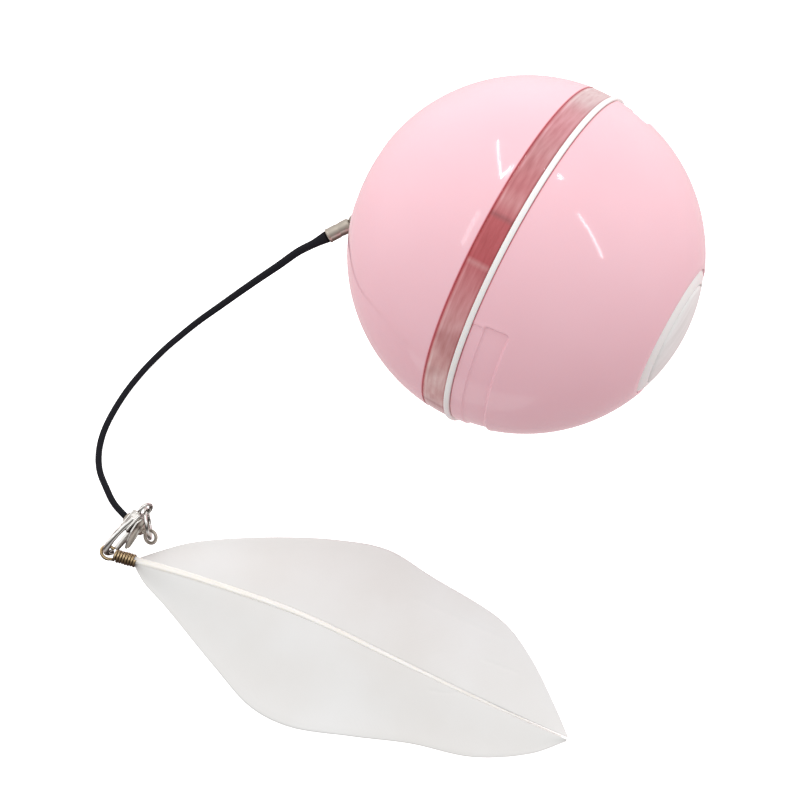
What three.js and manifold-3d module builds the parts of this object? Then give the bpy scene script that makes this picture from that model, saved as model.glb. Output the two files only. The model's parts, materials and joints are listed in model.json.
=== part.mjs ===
// A self rolling cat ball with a feather on a cord.
// Millimetres, +Z up. The origin is on the floor under the middle of the ball, and +X points
// along the ball's axle towards the catnip lid.
import * as THREE from 'three';
import { mergeVertices } from 'three/addons/utils/BufferGeometryUtils.js';
import Module from 'manifold-3d';

const wasm = await Module();
wasm.setup();

// Counts of facets, steps and copies
const ballSides = 48;
const capSides = 32;
const outerSteps = 8;
const innerSteps = 6;
const skinSteps = 3;
const capSteps = 2;
const lidSteps = 3;
const roundSides = 24;
const smallSides = 12;
const screwSides = 10;
const curveSteps = 6;
const fanStep = 30;
const wholeTurn = 360;
const wireSides = 6;
const lugCount = 4;
const gripCount = 2;
const cordSides = 8;

// Clearances
const seamGap = 0.12;
const seatGap = 0.3;
const runningGap = 0.1;
const cutOverrun = 1;

// Ball, places along the axle are counted from the middle of the ball
const ballRadius = 39;
const shellWall = 2;
const windowStartOffset = -3;
const windowWidth = 5.2;
const windowSinkDepth = 0.15;
const bandWidth = 1.2;
const bandProudHeight = 0.35;
const bandEdgeWidth = 0.25;
const bandBoreGap = 0.5;

// Bayonet between the white band and the right shell
const spigotInsetWidth = 2;
const spigotWall = 1.5;
const spigotLength = 4.6;
const lugHeight = 0.9;
const lugLength = 1.4;
const lugArc = 14;
const ledgeLength = 1.4;
const ledgeArc = 16;

// Grip recesses in the right shell
const gripStepEndOffset = 6.1;
const gripStepDepth = 0.25;
const gripStepHalfArc = 37.7;
const gripEndOffset = 11.1;
const gripDepth = 0.5;
const gripHalfArc = 38.5;

// White pole pieces
const capRadius = 14.9;
const capSinkDepth = 0.2;
const capRimHeight = 1.3;
const capLedgeWidth = 2.1;
const capLedgeHeight = 1.4;
const capSpigotLength = 0.6;
const grooveRadius = 11.9;
const grooveWidth = 0.4;
const grooveDepth = 0.6;

// Catnip lid and cup
const lidRimHeight = 1.35;
const lidSpigotWall = 1.2;
const lidSpigotLength = 2.4;
const lidTopThickness = 2.4;
const capBore = 11;
const cupRadius = 12;
const cupWall = 1.1;
const cupFlangeWidth = 0.9;
const cupFlangeLength = 1.2;
const cupStandoff = 2.69;
const cupFloorThickness = 1.5;
const cupBossRadius = 5.2;
const cupBossLength = 5;

// Left hub cap
const dishRadius = 9;
const dishFloorRadius = 8.4;
const dishDepth = 4.4;
const hubRadius = 5.6;
const hubLength = 4.5;
const hubPlateThickness = 1.4;

// Axle and bushes
const axleRadius = 2;
const bushWall = 1.4;
const bushFlangeWidth = 1.1;
const bushFlangeLength = 0.8;
const axleEndSunk = 0.3;
const collarRadius = 3.6;
const collarLength = 1.2;

// Hitch on the axle's left end
const eyeRadius = 1.9;
const eyeWireRadius = 0.55;
const eyeStemRadius = 0.9;
const eyeStemLength = 1.1;
const linkWireRadius = 0.45;
const linkHalfWidth = 2.8;
const linkSlackGap = -0.1;

// Gears: an internal ring, two compound gears and the motor's pinion
const pressureAngle = 25;
const addendumShare = 0.8;
const dedendumShare = 1.1;
const backlashGap = 0.2;
const ringTeeth = 56;
const ringWall = 4.1;
const driveTeeth = 10;
const wheelModuleShare = 0.6;
const wheelBTeeth = 24;
const wheelATeeth = 26;
const pinionTeeth = 9;
const gearWidth = 2;
const gearGap = 0.5;
const ringWidth = 4.3;
const gearBAngle = -25;
const gearAAngle = 185;
const motorAngle = 205;
const pinARadius = 1;
const pinBRadius = 1;

// Chassis
const framePlateOffset = -4.5;
const frameThickness = 1.5;
const frameInsetWidth = 8;
const hubTubeRadius = 4;
const hubTubeLength = 10;
const coverThickness = 1.5;
const coverInsetWidth = 2;
const postRadius = 2.6;
const postInsetWidth = 3.8;
const postAngles = [58, 122, -100];
const shelfThickness = 2;
const shelfWidth = 6;
const shelfEnd = 0.8;

// Motor, battery and counterweight
const motorRadiusShare = 0.1974;
const motorFlatsShare = 0.3077;
const motorLengthShare = 0.4359;
const motorCapLength = 2.5;
const motorBossRadius = 3;
const motorBossHeight = 1;
const motorShaftRadius = 1;
const motorScrewDistance = 5.2;
const motorScrewAngle = 115;
const batteryRadiusShare = 0.1795;
const batteryInsetWidth = 10;
const batteryAngle = -140;
const batteryStartShare = -0.5641;
const batteryLengthShare = 0.8462;
const batteryCapLength = 1.2;
const batteryCapRadius = 2.6;
const cradleWall = 1.2;
const cradleLength = 13;
const cradleHalfArc = 100;
const weightInsetWidth = 1.5;
const weightClearance = 1.8;
const weightMiddleAngle = -88;
const weightHalfArc = 36;
const weightLengthShare = 0.356;
const weightSteps = 4;
const weightSeatLength = 3;
const weightScrewShare = 0.6;
const weightScrewAngles = [-115, -68];

// Circuit board and what is on it
const boardInsetWidth = 2;
const boardChordHeight = 4;
const boardThickness = 1.2;
const boardStandoff = 0.9;
const standoffRadius = 2.2;
const boardScrewShares = [[-0.646, 0.521], [0.646, 0.521]];
const portPlaceShares = [-0.3125, 0.396];
const portSize = [9, 3.3, 5.6];
const portWall = 0.5;
const portDepth = 4.4;
const switchPlaceShares = [0.354, 0.396];
const switchSize = [6, 6, 3.4];
const buttonRadius = 1.7;
const buttonLength = 2.6;
const buttonHoleDepth = 1.8;
const buttonTravel = 0.5;
const chipPlaceShares = [0, 0.667];
const chipSize = [7, 5, 1.5];
const ledAngles = [52, 90, 128];
const ledRadius = 1.5;
const ledFlangeWidth = 0.3;
const ledFlangeHeight = 0.6;
const ledBodyLength = 2.4;

// Screws
const screwRadius = 0.85;
const screwHeadRadius = 1.6;
const screwHeadHeight = 0.9;
const screwLength = 6;
const smallScrewLength = 4.2;
const ringScrewCount = 3;
const ringScrewFirst = 15;
const ringScrewLength = 5.5;

// Cord, its crimps and its route, chosen by hand from the photograph
const cordRadius = 0.75;
const cordSteps = 30;
const crimpRadius = 1.45;
const crimpLength = 5.2;
const crimpNeckLength = 0.7;
const crimpNeckRadius = 0.6;
const crimpLoopRadius = 1.45;
const crimpWireRadius = 0.4;
const upperCrimpEnd = [-44.1, -11.7, 25];
const upperCrimpAim = [0.57, 0.76, 0.3];
const lowerCrimpEnd = [-52.4, -86.3, 1.5];
const lowerCrimpAim = [0.988, -0.152, 0.03];
const cordRoute = [
  [-46.3, -14.3, 23.5], [-49.3, -16.6, 20.4], [-52.6, -19.8, 16.0], [-56.1, -23.2, 11.6],
  [-59.4, -26.8, 7.6], [-62.6, -31.4, 4.4], [-65.6, -36.8, 2.2], [-67.4, -41.4, 1.2],
  [-68.9, -46.7, 0.85], [-70.1, -54.3, 0.85], [-70.4, -62.1, 0.85], [-69.3, -70.9, 0.85],
  [-67.2, -76.2, 0.9], [-64.4, -79.9, 1.0], [-60.6, -82.7, 1.2], [-56.8, -85.0, 1.5],
];

// Lobster clasp and its jump ring, in its own frame: x along it, y across it, z through it
const claspPlace = [-48.1, -84, 7.2];
const claspAim = [-0.225, -0.918, -0.327];
const claspRoll = 103;
const claspLength = 14.2;
const claspThickness = 2.6;
const claspBarThickness = 1.5;
const claspTailRadius = 2;
const claspTailHoleRadius = 1.2;
const claspTailThickness = 1;
const claspBlockLength = 4.1;
const claspSlotWidth = 1.5;
const claspSlotTopHeight = 0.9;
const claspSlotBackLength = 1.3;
const leverThickness = 1.2;
const leverPivot = [3.9, -0.9];
const claspPinRadius = 0.4;
const jumpWireRadius = 0.4;
const jumpSlackGap = 0.1;
const jumpTwist = -35;
const claspOuterShares = [
  [0.11, 0.136], [0.36, 0.157], [0.57, 0.2], [0.79, 0.18], [0.92, 0.086], [0.943, -0.043], [0.871, -0.15],
];
const claspInnerShares = [
  [0.836, -0.079], [0.857, 0], [0.814, 0.071], [0.686, 0.107], [0.543, 0.093], [0.443, 0.043],
  [0.4, -0.15], [0.114, -0.136],
];
const leverShares = [
  [0.221, -0.014], [0.225, -0.1], [0.286, -0.17], [0.35, -0.19], [0.393, -0.164],
  [0.8, -0.157], [0.8, -0.093], [0.43, -0.064], [0.329, -0.007],
];

// Brass wire on the quill
const windingStart = [-49.6, -95.25, 1.75];
const windingAim = [0.966, 0.259, 0];
const windingRadius = 1.2;
const windingWireRadius = 0.25;
const windingTurns = 5;
const windingPitch = 0.95;
const windingSteps = 12;
const wireEyeRadius = 1.45;
const wireEyeSteps = 12;
const wireEyeReachLength = 0.55;
const wireEyeLeadLength = 0.3;
const wireEyeSlope = 0.58;

// Feather
const featherBase = [-44.55, -93.9];
const featherAngle = 8.2;
const featherLength = 103.6;
const quillRadius = 0.85;
const quillHeight = 1.75;
const quillTipHeight = 0.9;
const quillTailLength = 4.8;
const quillTipRadius = 0.3;
const quillEndShare = 0.93;
const quillSteps = 14;
const vaneThickness = 0.35;
const vaneRiseHeight = 2.4;
const vaneLowHeight = 0.45;
const vaneStartShare = 0.03;
const vaneSteps = 18;
const vaneAcross = 3;
const upperEdgeShares = [
  [0, 0.01], [0.09, 0.08], [0.23, 0.153], [0.38, 0.21], [0.49, 0.231], [0.6, 0.208],
  [0.78, 0.176], [0.86, 0.125], [0.95, 0.05], [1, 0.004],
];
const lowerEdgeShares = [
  [0, 0.004], [0.1, 0.056], [0.25, 0.143], [0.36, 0.198], [0.45, 0.205], [0.58, 0.172],
  [0.7, 0.138], [0.83, 0.115], [0.94, 0.06], [1, 0.004],
];
const quillShares = [
  [0, 0.002], [0.15, 0.015], [0.38, 0.026], [0.6, 0.015], [0.75, 0.007], [0.9, 0.002], [1, 0],
];

// Materials
const paint = (color, roughness, metalness = 0, opacity = 1) =>
  new THREE.MeshStandardMaterial({ color, roughness, metalness, opacity, transparent: opacity < 1 });
const pinkGloss = paint('#f3cdd6', 0.22);
const tintedClear = paint('#c97a86', 0.12, 0, 0.55);
const whiteGloss = paint('#efecea', 0.3);
const greyPlastic = paint('#c9cbcd', 0.5);
const steel = paint('#b9bbbd', 0.28, 1);
const nickel = paint('#b8b0a8', 0.3, 1);
const brass = paint('#a8793f', 0.35, 1);
const bronze = paint('#b58a5a', 0.45, 1);
const acetal = paint('#f1efe6', 0.45);
const cellWrap = paint('#3d6fae', 0.4);
const boardGreen = paint('#1f6b45', 0.5);
const blackPlastic = paint('#25262a', 0.45);
const ledClear = paint('#f5d9dc', 0.15, 0, 0.8);
const waxedCord = paint('#141518', 0.55);
const quillIvory = paint('#efe9df', 0.5);
const featherWhite = paint('#ececec', 0.9);

const radians = THREE.MathUtils.degToRad;
const turn = 2 * Math.PI;
const vector = (place) => new THREE.Vector3(...place);
const polar = (radius, angle) => [radius * Math.cos(radians(angle)), radius * Math.sin(radians(angle))];

// Solids

// One closed surface with its faces pointing out and only positions left.
function closed(geometry) {
  const bare = geometry.clone();
  bare.deleteAttribute('normal');
  bare.deleteAttribute('uv');
  const welded = mergeVertices(bare, 1e-5);
  const place = welded.getAttribute('position');
  const index = [];
  const corners = [new THREE.Vector3(), new THREE.Vector3(), new THREE.Vector3()];
  let volume = 0;
  for (let i = 0; i < welded.index.count; i += 3) {
    const face = [0, 1, 2].map((k) => welded.index.getX(i + k));
    if (new Set(face).size < 3) continue;
    index.push(...face);
    corners.forEach((corner, k) => corner.fromBufferAttribute(place, face[k]));
    volume += corners[0].dot(corners[1].clone().cross(corners[2]));
  }
  if (volume < 0) index.reverse();
  welded.setIndex(index);
  return welded;
}

function manifoldOf(geometry) {
  const shape = closed(geometry);
  return new wasm.Manifold(new wasm.Mesh({
    numProp: 3,
    vertProperties: new Float32Array(shape.getAttribute('position').array),
    triVerts: new Uint32Array(shape.index.array),
  }));
}

function geometryOf(manifold) {
  const mesh = manifold.getMesh();
  const geometry = new THREE.BufferGeometry();
  geometry.setAttribute('position', new THREE.BufferAttribute(mesh.vertProperties, 3));
  geometry.setIndex(new THREE.BufferAttribute(mesh.triVerts, 1));
  return geometry;
}

const joined = (first, ...others) =>
  geometryOf(others.reduce((sum, other) => sum.add(manifoldOf(other)), manifoldOf(first)));
const cut = (first, ...others) =>
  geometryOf(others.reduce((rest, other) => rest.subtract(manifoldOf(other)), manifoldOf(first)));
const common = (first, second) => geometryOf(manifoldOf(first).intersect(manifoldOf(second)));

function meshOf(name, geometry, material) {
  const shape = closed(geometry);
  shape.computeVertexNormals();
  const mesh = new THREE.Mesh(shape, material);
  mesh.name = name;
  return mesh;
}

// In the ball's frame x points to the back, y up and z along the axle towards the lid.
// A turned piece has its profile as [radius, place along the axle], with flats up and down.
function turned(profile, sides = roundSides) {
  const points = profile.map(([radius, along]) => new THREE.Vector2(radius, along));
  if (profile[0][0] > 0) points.push(points[0].clone());
  return new THREE.LatheGeometry(points, sides, Math.PI / sides, turn).rotateX(Math.PI / 2);
}

const rod = (radius, from, to, sides = smallSides) =>
  turned([[0, from], [radius, from], [radius, to], [0, to]], sides);
const tube = (inner, outer, from, to, sides = roundSides) =>
  turned([[inner, from], [outer, from], [outer, to], [inner, to]], sides);

function prism(shape, from, to) {
  const length = to - from;
  const options = { depth: length, bevelEnabled: false, curveSegments: curveSteps };
  return new THREE.ExtrudeGeometry(shape, options).translate(0, 0, from);
}

function roundShape(radius, sides = smallSides, at = [0, 0]) {
  const shape = new THREE.Shape();
  for (let i = 0; i < sides; i += 1) {
    const angle = (turn * (i + 0.5)) / sides;
    const x = at[0] + radius * Math.cos(angle);
    const y = at[1] + radius * Math.sin(angle);
    if (i === 0) shape.moveTo(x, y);
    else shape.lineTo(x, y);
  }
  return shape;
}

// A fan from the axle that covers an arc, for keeping one sector of a turned piece.
function fan(middle, halfArc, reach, from, to) {
  const steps = Math.ceil((2 * halfArc) / fanStep);
  const shape = new THREE.Shape();
  shape.moveTo(0, 0);
  for (let i = 0; i <= steps; i += 1) {
    const angle = middle - halfArc + (2 * halfArc * i) / steps;
    shape.lineTo(...polar(2 * reach, angle));
  }
  return prism(shape, from, to);
}

const sphereAt = (radius, along) => Math.sqrt(radius * radius - along * along);

// Points of a profile on a sphere, between two places along the axle.
function sphereArc(radius, from, to, steps) {
  const start = Math.acos(from / radius);
  const end = Math.acos(to / radius);
  const points = [];
  for (let i = 0; i <= steps; i += 1) {
    const angle = start + ((end - start) * i) / steps;
    points.push([radius * Math.sin(angle), radius * Math.cos(angle)]);
  }
  return points;
}

const mirrored = (profile) => profile.map(([radius, along]) => [radius, -along]).reverse();
const placed = (geometry, x, y, z = 0) => geometry.translate(x, y, z);

// A round wire bent into a closed ring about z.
const wireRing = (radius, wire, steps = smallSides) =>
  new THREE.TorusGeometry(radius, wire, wireSides, steps);

// Turns a geometry made about z so that z follows one direction and x another.
function aimed(geometry, z, x) {
  const alongZ = z.clone().normalize();
  const alongY = alongZ.clone().cross(x).normalize();
  const alongX = alongY.clone().cross(alongZ);
  return geometry.applyMatrix4(new THREE.Matrix4().makeBasis(alongX, alongY, alongZ));
}

// Derived sizes and places
const bandStart = windowStartOffset + windowWidth;
const bandEnd = bandStart + bandWidth;
const bandRadius = ballRadius + bandProudHeight;
const centreHeight = bandRadius * Math.cos(Math.PI / ballSides);
const innerRadius = ballRadius - shellWall;
const capHole = capRadius + seamGap;
const capSeat = sphereAt(ballRadius, capHole) - capRimHeight;
const capLedgeBore = capHole - capLedgeWidth;
const capBack = capSeat - capLedgeHeight - capSpigotLength;
const capSurface = ballRadius - capSinkDepth;
const capShoulder = capLedgeBore - seamGap;
const spigotRadius = innerRadius - spigotInsetWidth;
const spigotInner = spigotRadius - spigotWall;
const ringOuter = spigotInner - seatGap;
const ringRoot = ringOuter - ringWall;
const ringPitch = ringRoot / (1 + (2 * dedendumShare) / ringTeeth);
const ringModule = (2 * ringPitch) / ringTeeth;
const wheelModule = ringModule * wheelModuleShare;
const bandBore = ringRoot + bandBoreGap;
const ringScrewDistance = (ringRoot + ringOuter) / 2;
const frameRadius = innerRadius - frameInsetWidth;
const coverRadius = ringPitch - coverInsetWidth;
const postDistance = coverRadius - postInsetWidth;
const shelfOuter = frameRadius;
const shelfInner = shelfOuter - shelfThickness;
const motorRadius = ballRadius * motorRadiusShare;
const motorFlats = ballRadius * motorFlatsShare;
const motorLength = ballRadius * motorLengthShare;
const batteryRadius = ballRadius * batteryRadiusShare;
const batteryStart = ballRadius * batteryStartShare;
const batteryLength = ballRadius * batteryLengthShare;
const batteryDistance = frameRadius - batteryInsetWidth;
const boardRadius = coverRadius - boardInsetWidth;
const onBoard = (shares) => shares.map((share) => share * boardRadius);
const boardScrewPlaces = boardScrewShares.map(onBoard);
const portPlace = onBoard(portPlaceShares);
const switchPlace = onBoard(switchPlaceShares);
const chipPlace = onBoard(chipPlaceShares);

// Shells, window and band

function shellProfile(rim) {
  const back = capSeat - capLedgeHeight;
  return [
    ...sphereArc(ballRadius, rim, sphereAt(ballRadius, capHole), outerSteps),
    [capHole, capSeat],
    [capLedgeBore, capSeat],
    [capLedgeBore, back],
    ...sphereArc(innerRadius, back, rim, innerSteps),
  ];
}

function leftShell() {
  const profile = mirrored(shellProfile(seamGap - windowStartOffset));
  return meshOf('left_shell', turned(profile, ballSides), pinkGloss);
}

function lightWindow() {
  const outer = ballRadius - windowSinkDepth;
  const profile = [
    ...sphereArc(outer, windowStartOffset, bandStart - seamGap, capSteps),
    [innerRadius, bandStart - seamGap],
    [innerRadius, windowStartOffset],
  ];
  return meshOf('light_window', turned(profile, ballSides), tintedClear);
}

const lugEnd = bandEnd + spigotLength - seamGap;
const lugStart = lugEnd - lugLength;

function whiteBand() {
  const body = turned([
    [bandRadius - bandEdgeWidth, bandStart],
    [bandRadius, bandStart + bandEdgeWidth],
    [bandRadius, bandEnd - bandEdgeWidth],
    [bandRadius - bandEdgeWidth, bandEnd],
    [spigotRadius, bandEnd],
    [spigotRadius, bandEnd + spigotLength],
    [spigotInner, bandEnd + spigotLength],
    [spigotInner, bandEnd],
    [bandBore, bandEnd],
    [bandBore, bandStart],
  ], ballSides);
  const lugInner = spigotRadius - spigotWall / 2;
  const lugRing = tube(lugInner, spigotRadius + lugHeight, lugStart, lugEnd, ballSides);
  const lugs = [];
  for (let i = 0; i < lugCount; i += 1) {
    const middle = (wholeTurn * (i + 0.5)) / lugCount;
    const sector = fan(middle, lugArc / 2, spigotRadius, lugStart - cutOverrun, lugEnd + cutOverrun);
    lugs.push(common(lugRing, sector));
  }
  const ring = cut(joined(body, ...lugs), ...ringScrewHoles(bandStart - cutOverrun));
  return meshOf('white_band', ring, whiteGloss);
}

// A skin that follows the sphere, for cutting a recess of even depth into it.
function skin(depth, from, to) {
  const floor = ballRadius - depth;
  const outer = ballRadius + cutOverrun;
  return turned([
    ...sphereArc(outer, from, to, skinSteps),
    ...sphereArc(floor, to, from, skinSteps),
  ], ballSides);
}

function rightShell() {
  const rim = bandEnd + seamGap;
  const ledgeEnd = lugStart - seatGap;
  const ledgeStart = ledgeEnd - ledgeLength;
  const ledgeRing = turned([
    [spigotRadius + seatGap, ledgeStart],
    [sphereAt(innerRadius, ledgeStart) + shellWall / 2, ledgeStart],
    [sphereAt(innerRadius, ledgeEnd) + shellWall / 2, ledgeEnd],
    [spigotRadius + seatGap, ledgeEnd],
  ], ballSides);
  const ledges = [];
  for (let i = 0; i < lugCount; i += 1) {
    const middle = (wholeTurn * (i + 0.5)) / lugCount;
    const sector = fan(middle, ledgeArc / 2, ballRadius, ledgeStart - cutOverrun, ledgeEnd + cutOverrun);
    ledges.push(common(ledgeRing, sector));
  }
  const grips = [];
  for (let i = 0; i < gripCount; i += 1) {
    const middle = 180 + (wholeTurn * i) / gripCount;
    const step = skin(gripStepDepth, rim - cutOverrun, gripStepEndOffset);
    const deep = skin(gripDepth, gripStepEndOffset, gripEndOffset);
    const stepSector = fan(middle, gripStepHalfArc, ballRadius, rim - 2 * cutOverrun, gripEndOffset);
    grips.push(common(step, stepSector));
    grips.push(common(deep, fan(middle, gripHalfArc, ballRadius, rim, gripEndOffset + cutOverrun)));
  }
  const body = turned(shellProfile(rim), ballSides);
  return meshOf('right_shell', cut(joined(body, ...ledges), ...grips), pinkGloss);
}

// Pole pieces

const capArc = (outer, inner) =>
  sphereArc(capSurface, sphereAt(capSurface, outer), sphereAt(capSurface, inner), capSteps);
const lidSeat = sphereAt(capSurface, grooveRadius) - lidRimHeight;

function hubCap() {
  const grooveInner = grooveRadius - grooveWidth;
  const grooveFloor = sphereAt(capSurface, grooveRadius) - grooveDepth;
  const dishTop = sphereAt(capSurface, dishRadius);
  const dishFloor = dishTop - dishDepth;
  const bushHole = axleRadius + runningGap + bushWall + runningGap;
  const profile = [
    [capRadius, capSeat + seamGap],
    ...capArc(capRadius, grooveRadius),
    [grooveRadius, grooveFloor],
    [grooveInner, grooveFloor],
    ...capArc(grooveInner, dishRadius),
    [dishFloorRadius, dishFloor],
    [bushHole, dishFloor],
    [bushHole, dishFloor - hubLength],
    [hubRadius, dishFloor - hubLength],
    [hubRadius, dishFloor - hubPlateThickness],
    [capShoulder - hubPlateThickness, capBack],
    [capShoulder, capBack],
    [capShoulder, capSeat + seamGap],
  ];
  return meshOf('hub_cap', turned(mirrored(profile), capSides), whiteGloss);
}

function capRing() {
  const lidHole = grooveRadius;
  return meshOf('cap_ring', turned([
    [capRadius, capSeat + seamGap],
    ...capArc(capRadius, lidHole),
    [lidHole, lidSeat],
    [capBore, lidSeat],
    [capBore, capBack],
    [capShoulder, capBack],
    [capShoulder, capSeat + seamGap],
  ], capSides), whiteGloss);
}

function catnipLid() {
  const rim = grooveRadius - seatGap;
  const seat = lidSeat + seatGap;
  const under = lidSeat + seatGap - lidSpigotLength;
  const spigot = capBore - seatGap;
  const inside = spigot - lidSpigotWall;
  return meshOf('catnip_lid', turned([
    [0, capSurface - lidTopThickness],
    [inside, capSurface - lidTopThickness],
    [inside, under],
    [spigot, under],
    [spigot, seat],
    [rim, seat],
    ...sphereArc(capSurface, sphereAt(capSurface, rim), capSurface, lidSteps),
  ], capSides), whiteGloss);
}

const ringStart = bandEnd + seatGap;
const ringEnd = ringStart + ringWidth;
const coverStart = ringEnd + seatGap;
const coverEnd = coverStart + coverThickness;
const boardStart = coverEnd + boardStandoff;
const boardFace = boardStart + boardThickness;
const cupTop = capBack - seatGap;
const bossEnd = boardFace + cupStandoff;
const bossFloor = bossEnd + cupBossLength;
const cupBottom = bossFloor + cupFloorThickness;
const bushRadius = axleRadius + runningGap + bushWall;

function catnipCup() {
  const inside = cupRadius - cupWall;
  return meshOf('catnip_cup', turned([
    [0, bossFloor],
    [bushRadius + runningGap, bossFloor],
    [bushRadius + runningGap, bossEnd],
    [cupBossRadius, bossEnd],
    [cupBossRadius, bossFloor],
    [cupRadius, bossFloor],
    [cupRadius, cupTop - cupFlangeLength],
    [cupRadius + cupFlangeWidth, cupTop - cupFlangeLength],
    [cupRadius + cupFlangeWidth, cupTop],
    [inside, cupTop],
    [inside, cupBottom],
    [0, cupBottom],
  ]), whiteGloss);
}

function rightBush() {
  const end = bossFloor - seatGap;
  return meshOf('right_bush', turned([
    [axleRadius + runningGap, bossEnd - seatGap - bushFlangeLength],
    [bushRadius + bushFlangeWidth, bossEnd - seatGap - bushFlangeLength],
    [bushRadius + bushFlangeWidth, bossEnd - seatGap],
    [bushRadius, bossEnd - seatGap],
    [bushRadius, end],
    [axleRadius + runningGap, end],
  ]), bronze);
}

// Axle and its hitch

const dishFloorPlace = sphereAt(capSurface, dishRadius) - dishDepth;
const hubBack = dishFloorPlace - hubLength;
const axleLeft = axleEndSunk - dishFloorPlace;
const axleRight = bossFloor - 2 * seatGap;
const eyeCentre = axleLeft - seatGap - eyeStemLength - eyeRadius;

function hubBush() {
  return meshOf('hub_bush', turned(mirrored([
    [axleRadius + runningGap, hubBack - seatGap - bushFlangeLength],
    [bushRadius + bushFlangeWidth, hubBack - seatGap - bushFlangeLength],
    [bushRadius + bushFlangeWidth, hubBack - seatGap],
    [bushRadius, hubBack - seatGap],
    [bushRadius, dishFloorPlace],
    [axleRadius + runningGap, dishFloorPlace],
  ])), bronze);
}

function axle() {
  return meshOf('axle', rod(axleRadius, axleLeft, axleRight, roundSides), steel);
}

function collar(name, from) {
  const bore = axleRadius + runningGap;
  return meshOf(name, tube(bore, collarRadius, from, from + collarLength), steel);
}

// The hitch, cord, clasp and feather have their places in the frame of the whole part.
const eyePlace = new THREE.Vector3(eyeCentre, 0, centreHeight);
const crimpReach = crimpLength + crimpNeckLength + crimpLoopRadius;
const upperLoop = vector(upperCrimpEnd).addScaledVector(vector(upperCrimpAim).normalize(), crimpReach);
const linkAim = upperLoop.clone().sub(eyePlace).normalize();
const eyeAxis = new THREE.Vector3(1, 0, 0).cross(linkAim).normalize();

function hitchEye() {
  const ring = aimed(wireRing(eyeRadius, eyeWireRadius), eyeAxis, new THREE.Vector3(1, 0, 0));
  const stemEnd = -eyeRadius;
  const stem = rod(eyeStemRadius, stemEnd - eyeStemLength, stemEnd + eyeWireRadius / 2, smallSides);
  const aim = new THREE.Vector3(-1, 0, 0);
  const shape = joined(ring, aimed(stem, aim, eyeAxis));
  return meshOf('hitch_eye', shape.translate(...eyePlace.toArray()), nickel);
}

// An oval link through the eye and the crimp's loop.
function hitchLink() {
  const span = upperLoop.distanceTo(eyePlace);
  const halfLength = span / 2 - linkSlackGap;
  const path = new THREE.EllipseCurve(0, 0, halfLength, linkHalfWidth);
  const points = path.getSpacedPoints(2 * smallSides).slice(0, -1);
  const curve = new THREE.CatmullRomCurve3(points.map((p) => new THREE.Vector3(p.x, p.y, 0)), true);
  const oval = new THREE.TubeGeometry(curve, 2 * smallSides, linkWireRadius, wireSides, true);
  const middle = eyePlace.clone().add(upperLoop).multiplyScalar(0.5);
  const facing = linkAim.clone().cross(eyeAxis);
  return meshOf('hitch_link', aimed(oval, facing, linkAim).translate(...middle.toArray()), nickel);
}

// A crimped end cap with a wire loop, from where the cord enters it.
function crimp(name, end, aim, loopAxis) {
  const barrel = rod(crimpRadius, 0, crimpLength);
  const neck = rod(crimpNeckRadius, crimpLength - crimpNeckLength, crimpLength + crimpNeckLength);
  const loopMiddle = crimpReach;
  const loop = wireRing(crimpLoopRadius, crimpWireRadius);
  loop.rotateY(Math.PI / 2).translate(0, 0, loopMiddle);
  const shape = joined(barrel, neck, loop);
  return meshOf(name, aimed(shape, vector(aim), loopAxis).translate(...end), nickel);
}

// Gears

const involute = (angle) => Math.tan(angle) - angle;

// Half of a tooth's angle at a radius, for teeth that are thinned for backlashGap.
function halfTooth(teeth, module, radius) {
  const pitch = (teeth * module) / 2;
  const base = pitch * Math.cos(radians(pressureAngle));
  const angle = Math.acos(Math.min(1, base / radius));
  const thickness = Math.PI / (2 * teeth) - backlashGap / (4 * pitch);
  return thickness + involute(radians(pressureAngle)) - involute(angle);
}

function gearShape(teeth, module, phase, fine) {
  const pitch = (teeth * module) / 2;
  const tip = pitch + addendumShare * module;
  const root = pitch - dedendumShare * module;
  const radii = fine ? [root, pitch, tip] : [root, tip];
  const shape = new THREE.Shape();
  for (let i = 0; i < teeth; i += 1) {
    const middle = phase + (turn * i) / teeth;
    const rising = radii.map((radius) => [radius, middle - halfTooth(teeth, module, radius)]);
    const falling = radii.map((radius) => [radius, middle + halfTooth(teeth, module, radius)]).reverse();
    [...rising, ...falling].forEach(([radius, angle], k) => {
      const x = radius * Math.cos(angle);
      const y = radius * Math.sin(angle);
      if (i === 0 && k === 0) shape.moveTo(x, y);
      else shape.lineTo(x, y);
    });
  }
  return shape;
}

// The ring's hole: its spaces are teeth of a wheel that is wider by the backlashGap.
function ringShape(outer, phase) {
  const pitch = (ringTeeth * ringModule) / 2;
  const shape = roundShape(outer, ringTeeth);
  const hole = new THREE.Path();
  const tip = pitch - addendumShare * ringModule;
  const root = pitch + dedendumShare * ringModule;
  for (let i = 0; i < ringTeeth; i += 1) {
    const middle = phase + (turn * (i + 0.5)) / ringTeeth;
    const half = (radius) => halfTooth(ringTeeth, ringModule, radius) + backlashGap / (2 * pitch);
    const points = [
      [tip, middle - half(tip)], [root, middle - half(root)],
      [root, middle + half(root)], [tip, middle + half(tip)],
    ];
    points.forEach(([radius, angle], k) => {
      const x = radius * Math.cos(angle);
      const y = radius * Math.sin(angle);
      if (i === 0 && k === 0) hole.moveTo(x, y);
      else hole.lineTo(x, y);
    });
  }
  shape.holes.push(hole);
  return shape;
}

const ringCentreDistance = (ringModule * (ringTeeth - driveTeeth)) / 2;
const pairBDistance = (wheelModule * (pinionTeeth + wheelBTeeth)) / 2;
const pairADistance = (wheelModule * (pinionTeeth + wheelATeeth)) / 2;
const gearB = polar(ringCentreDistance, gearBAngle);
const gearA = polar(pairBDistance, gearAAngle).map((value, i) => value + gearB[i]);
const motor = polar(pairADistance, motorAngle).map((value, i) => value + gearA[i]);

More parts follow.
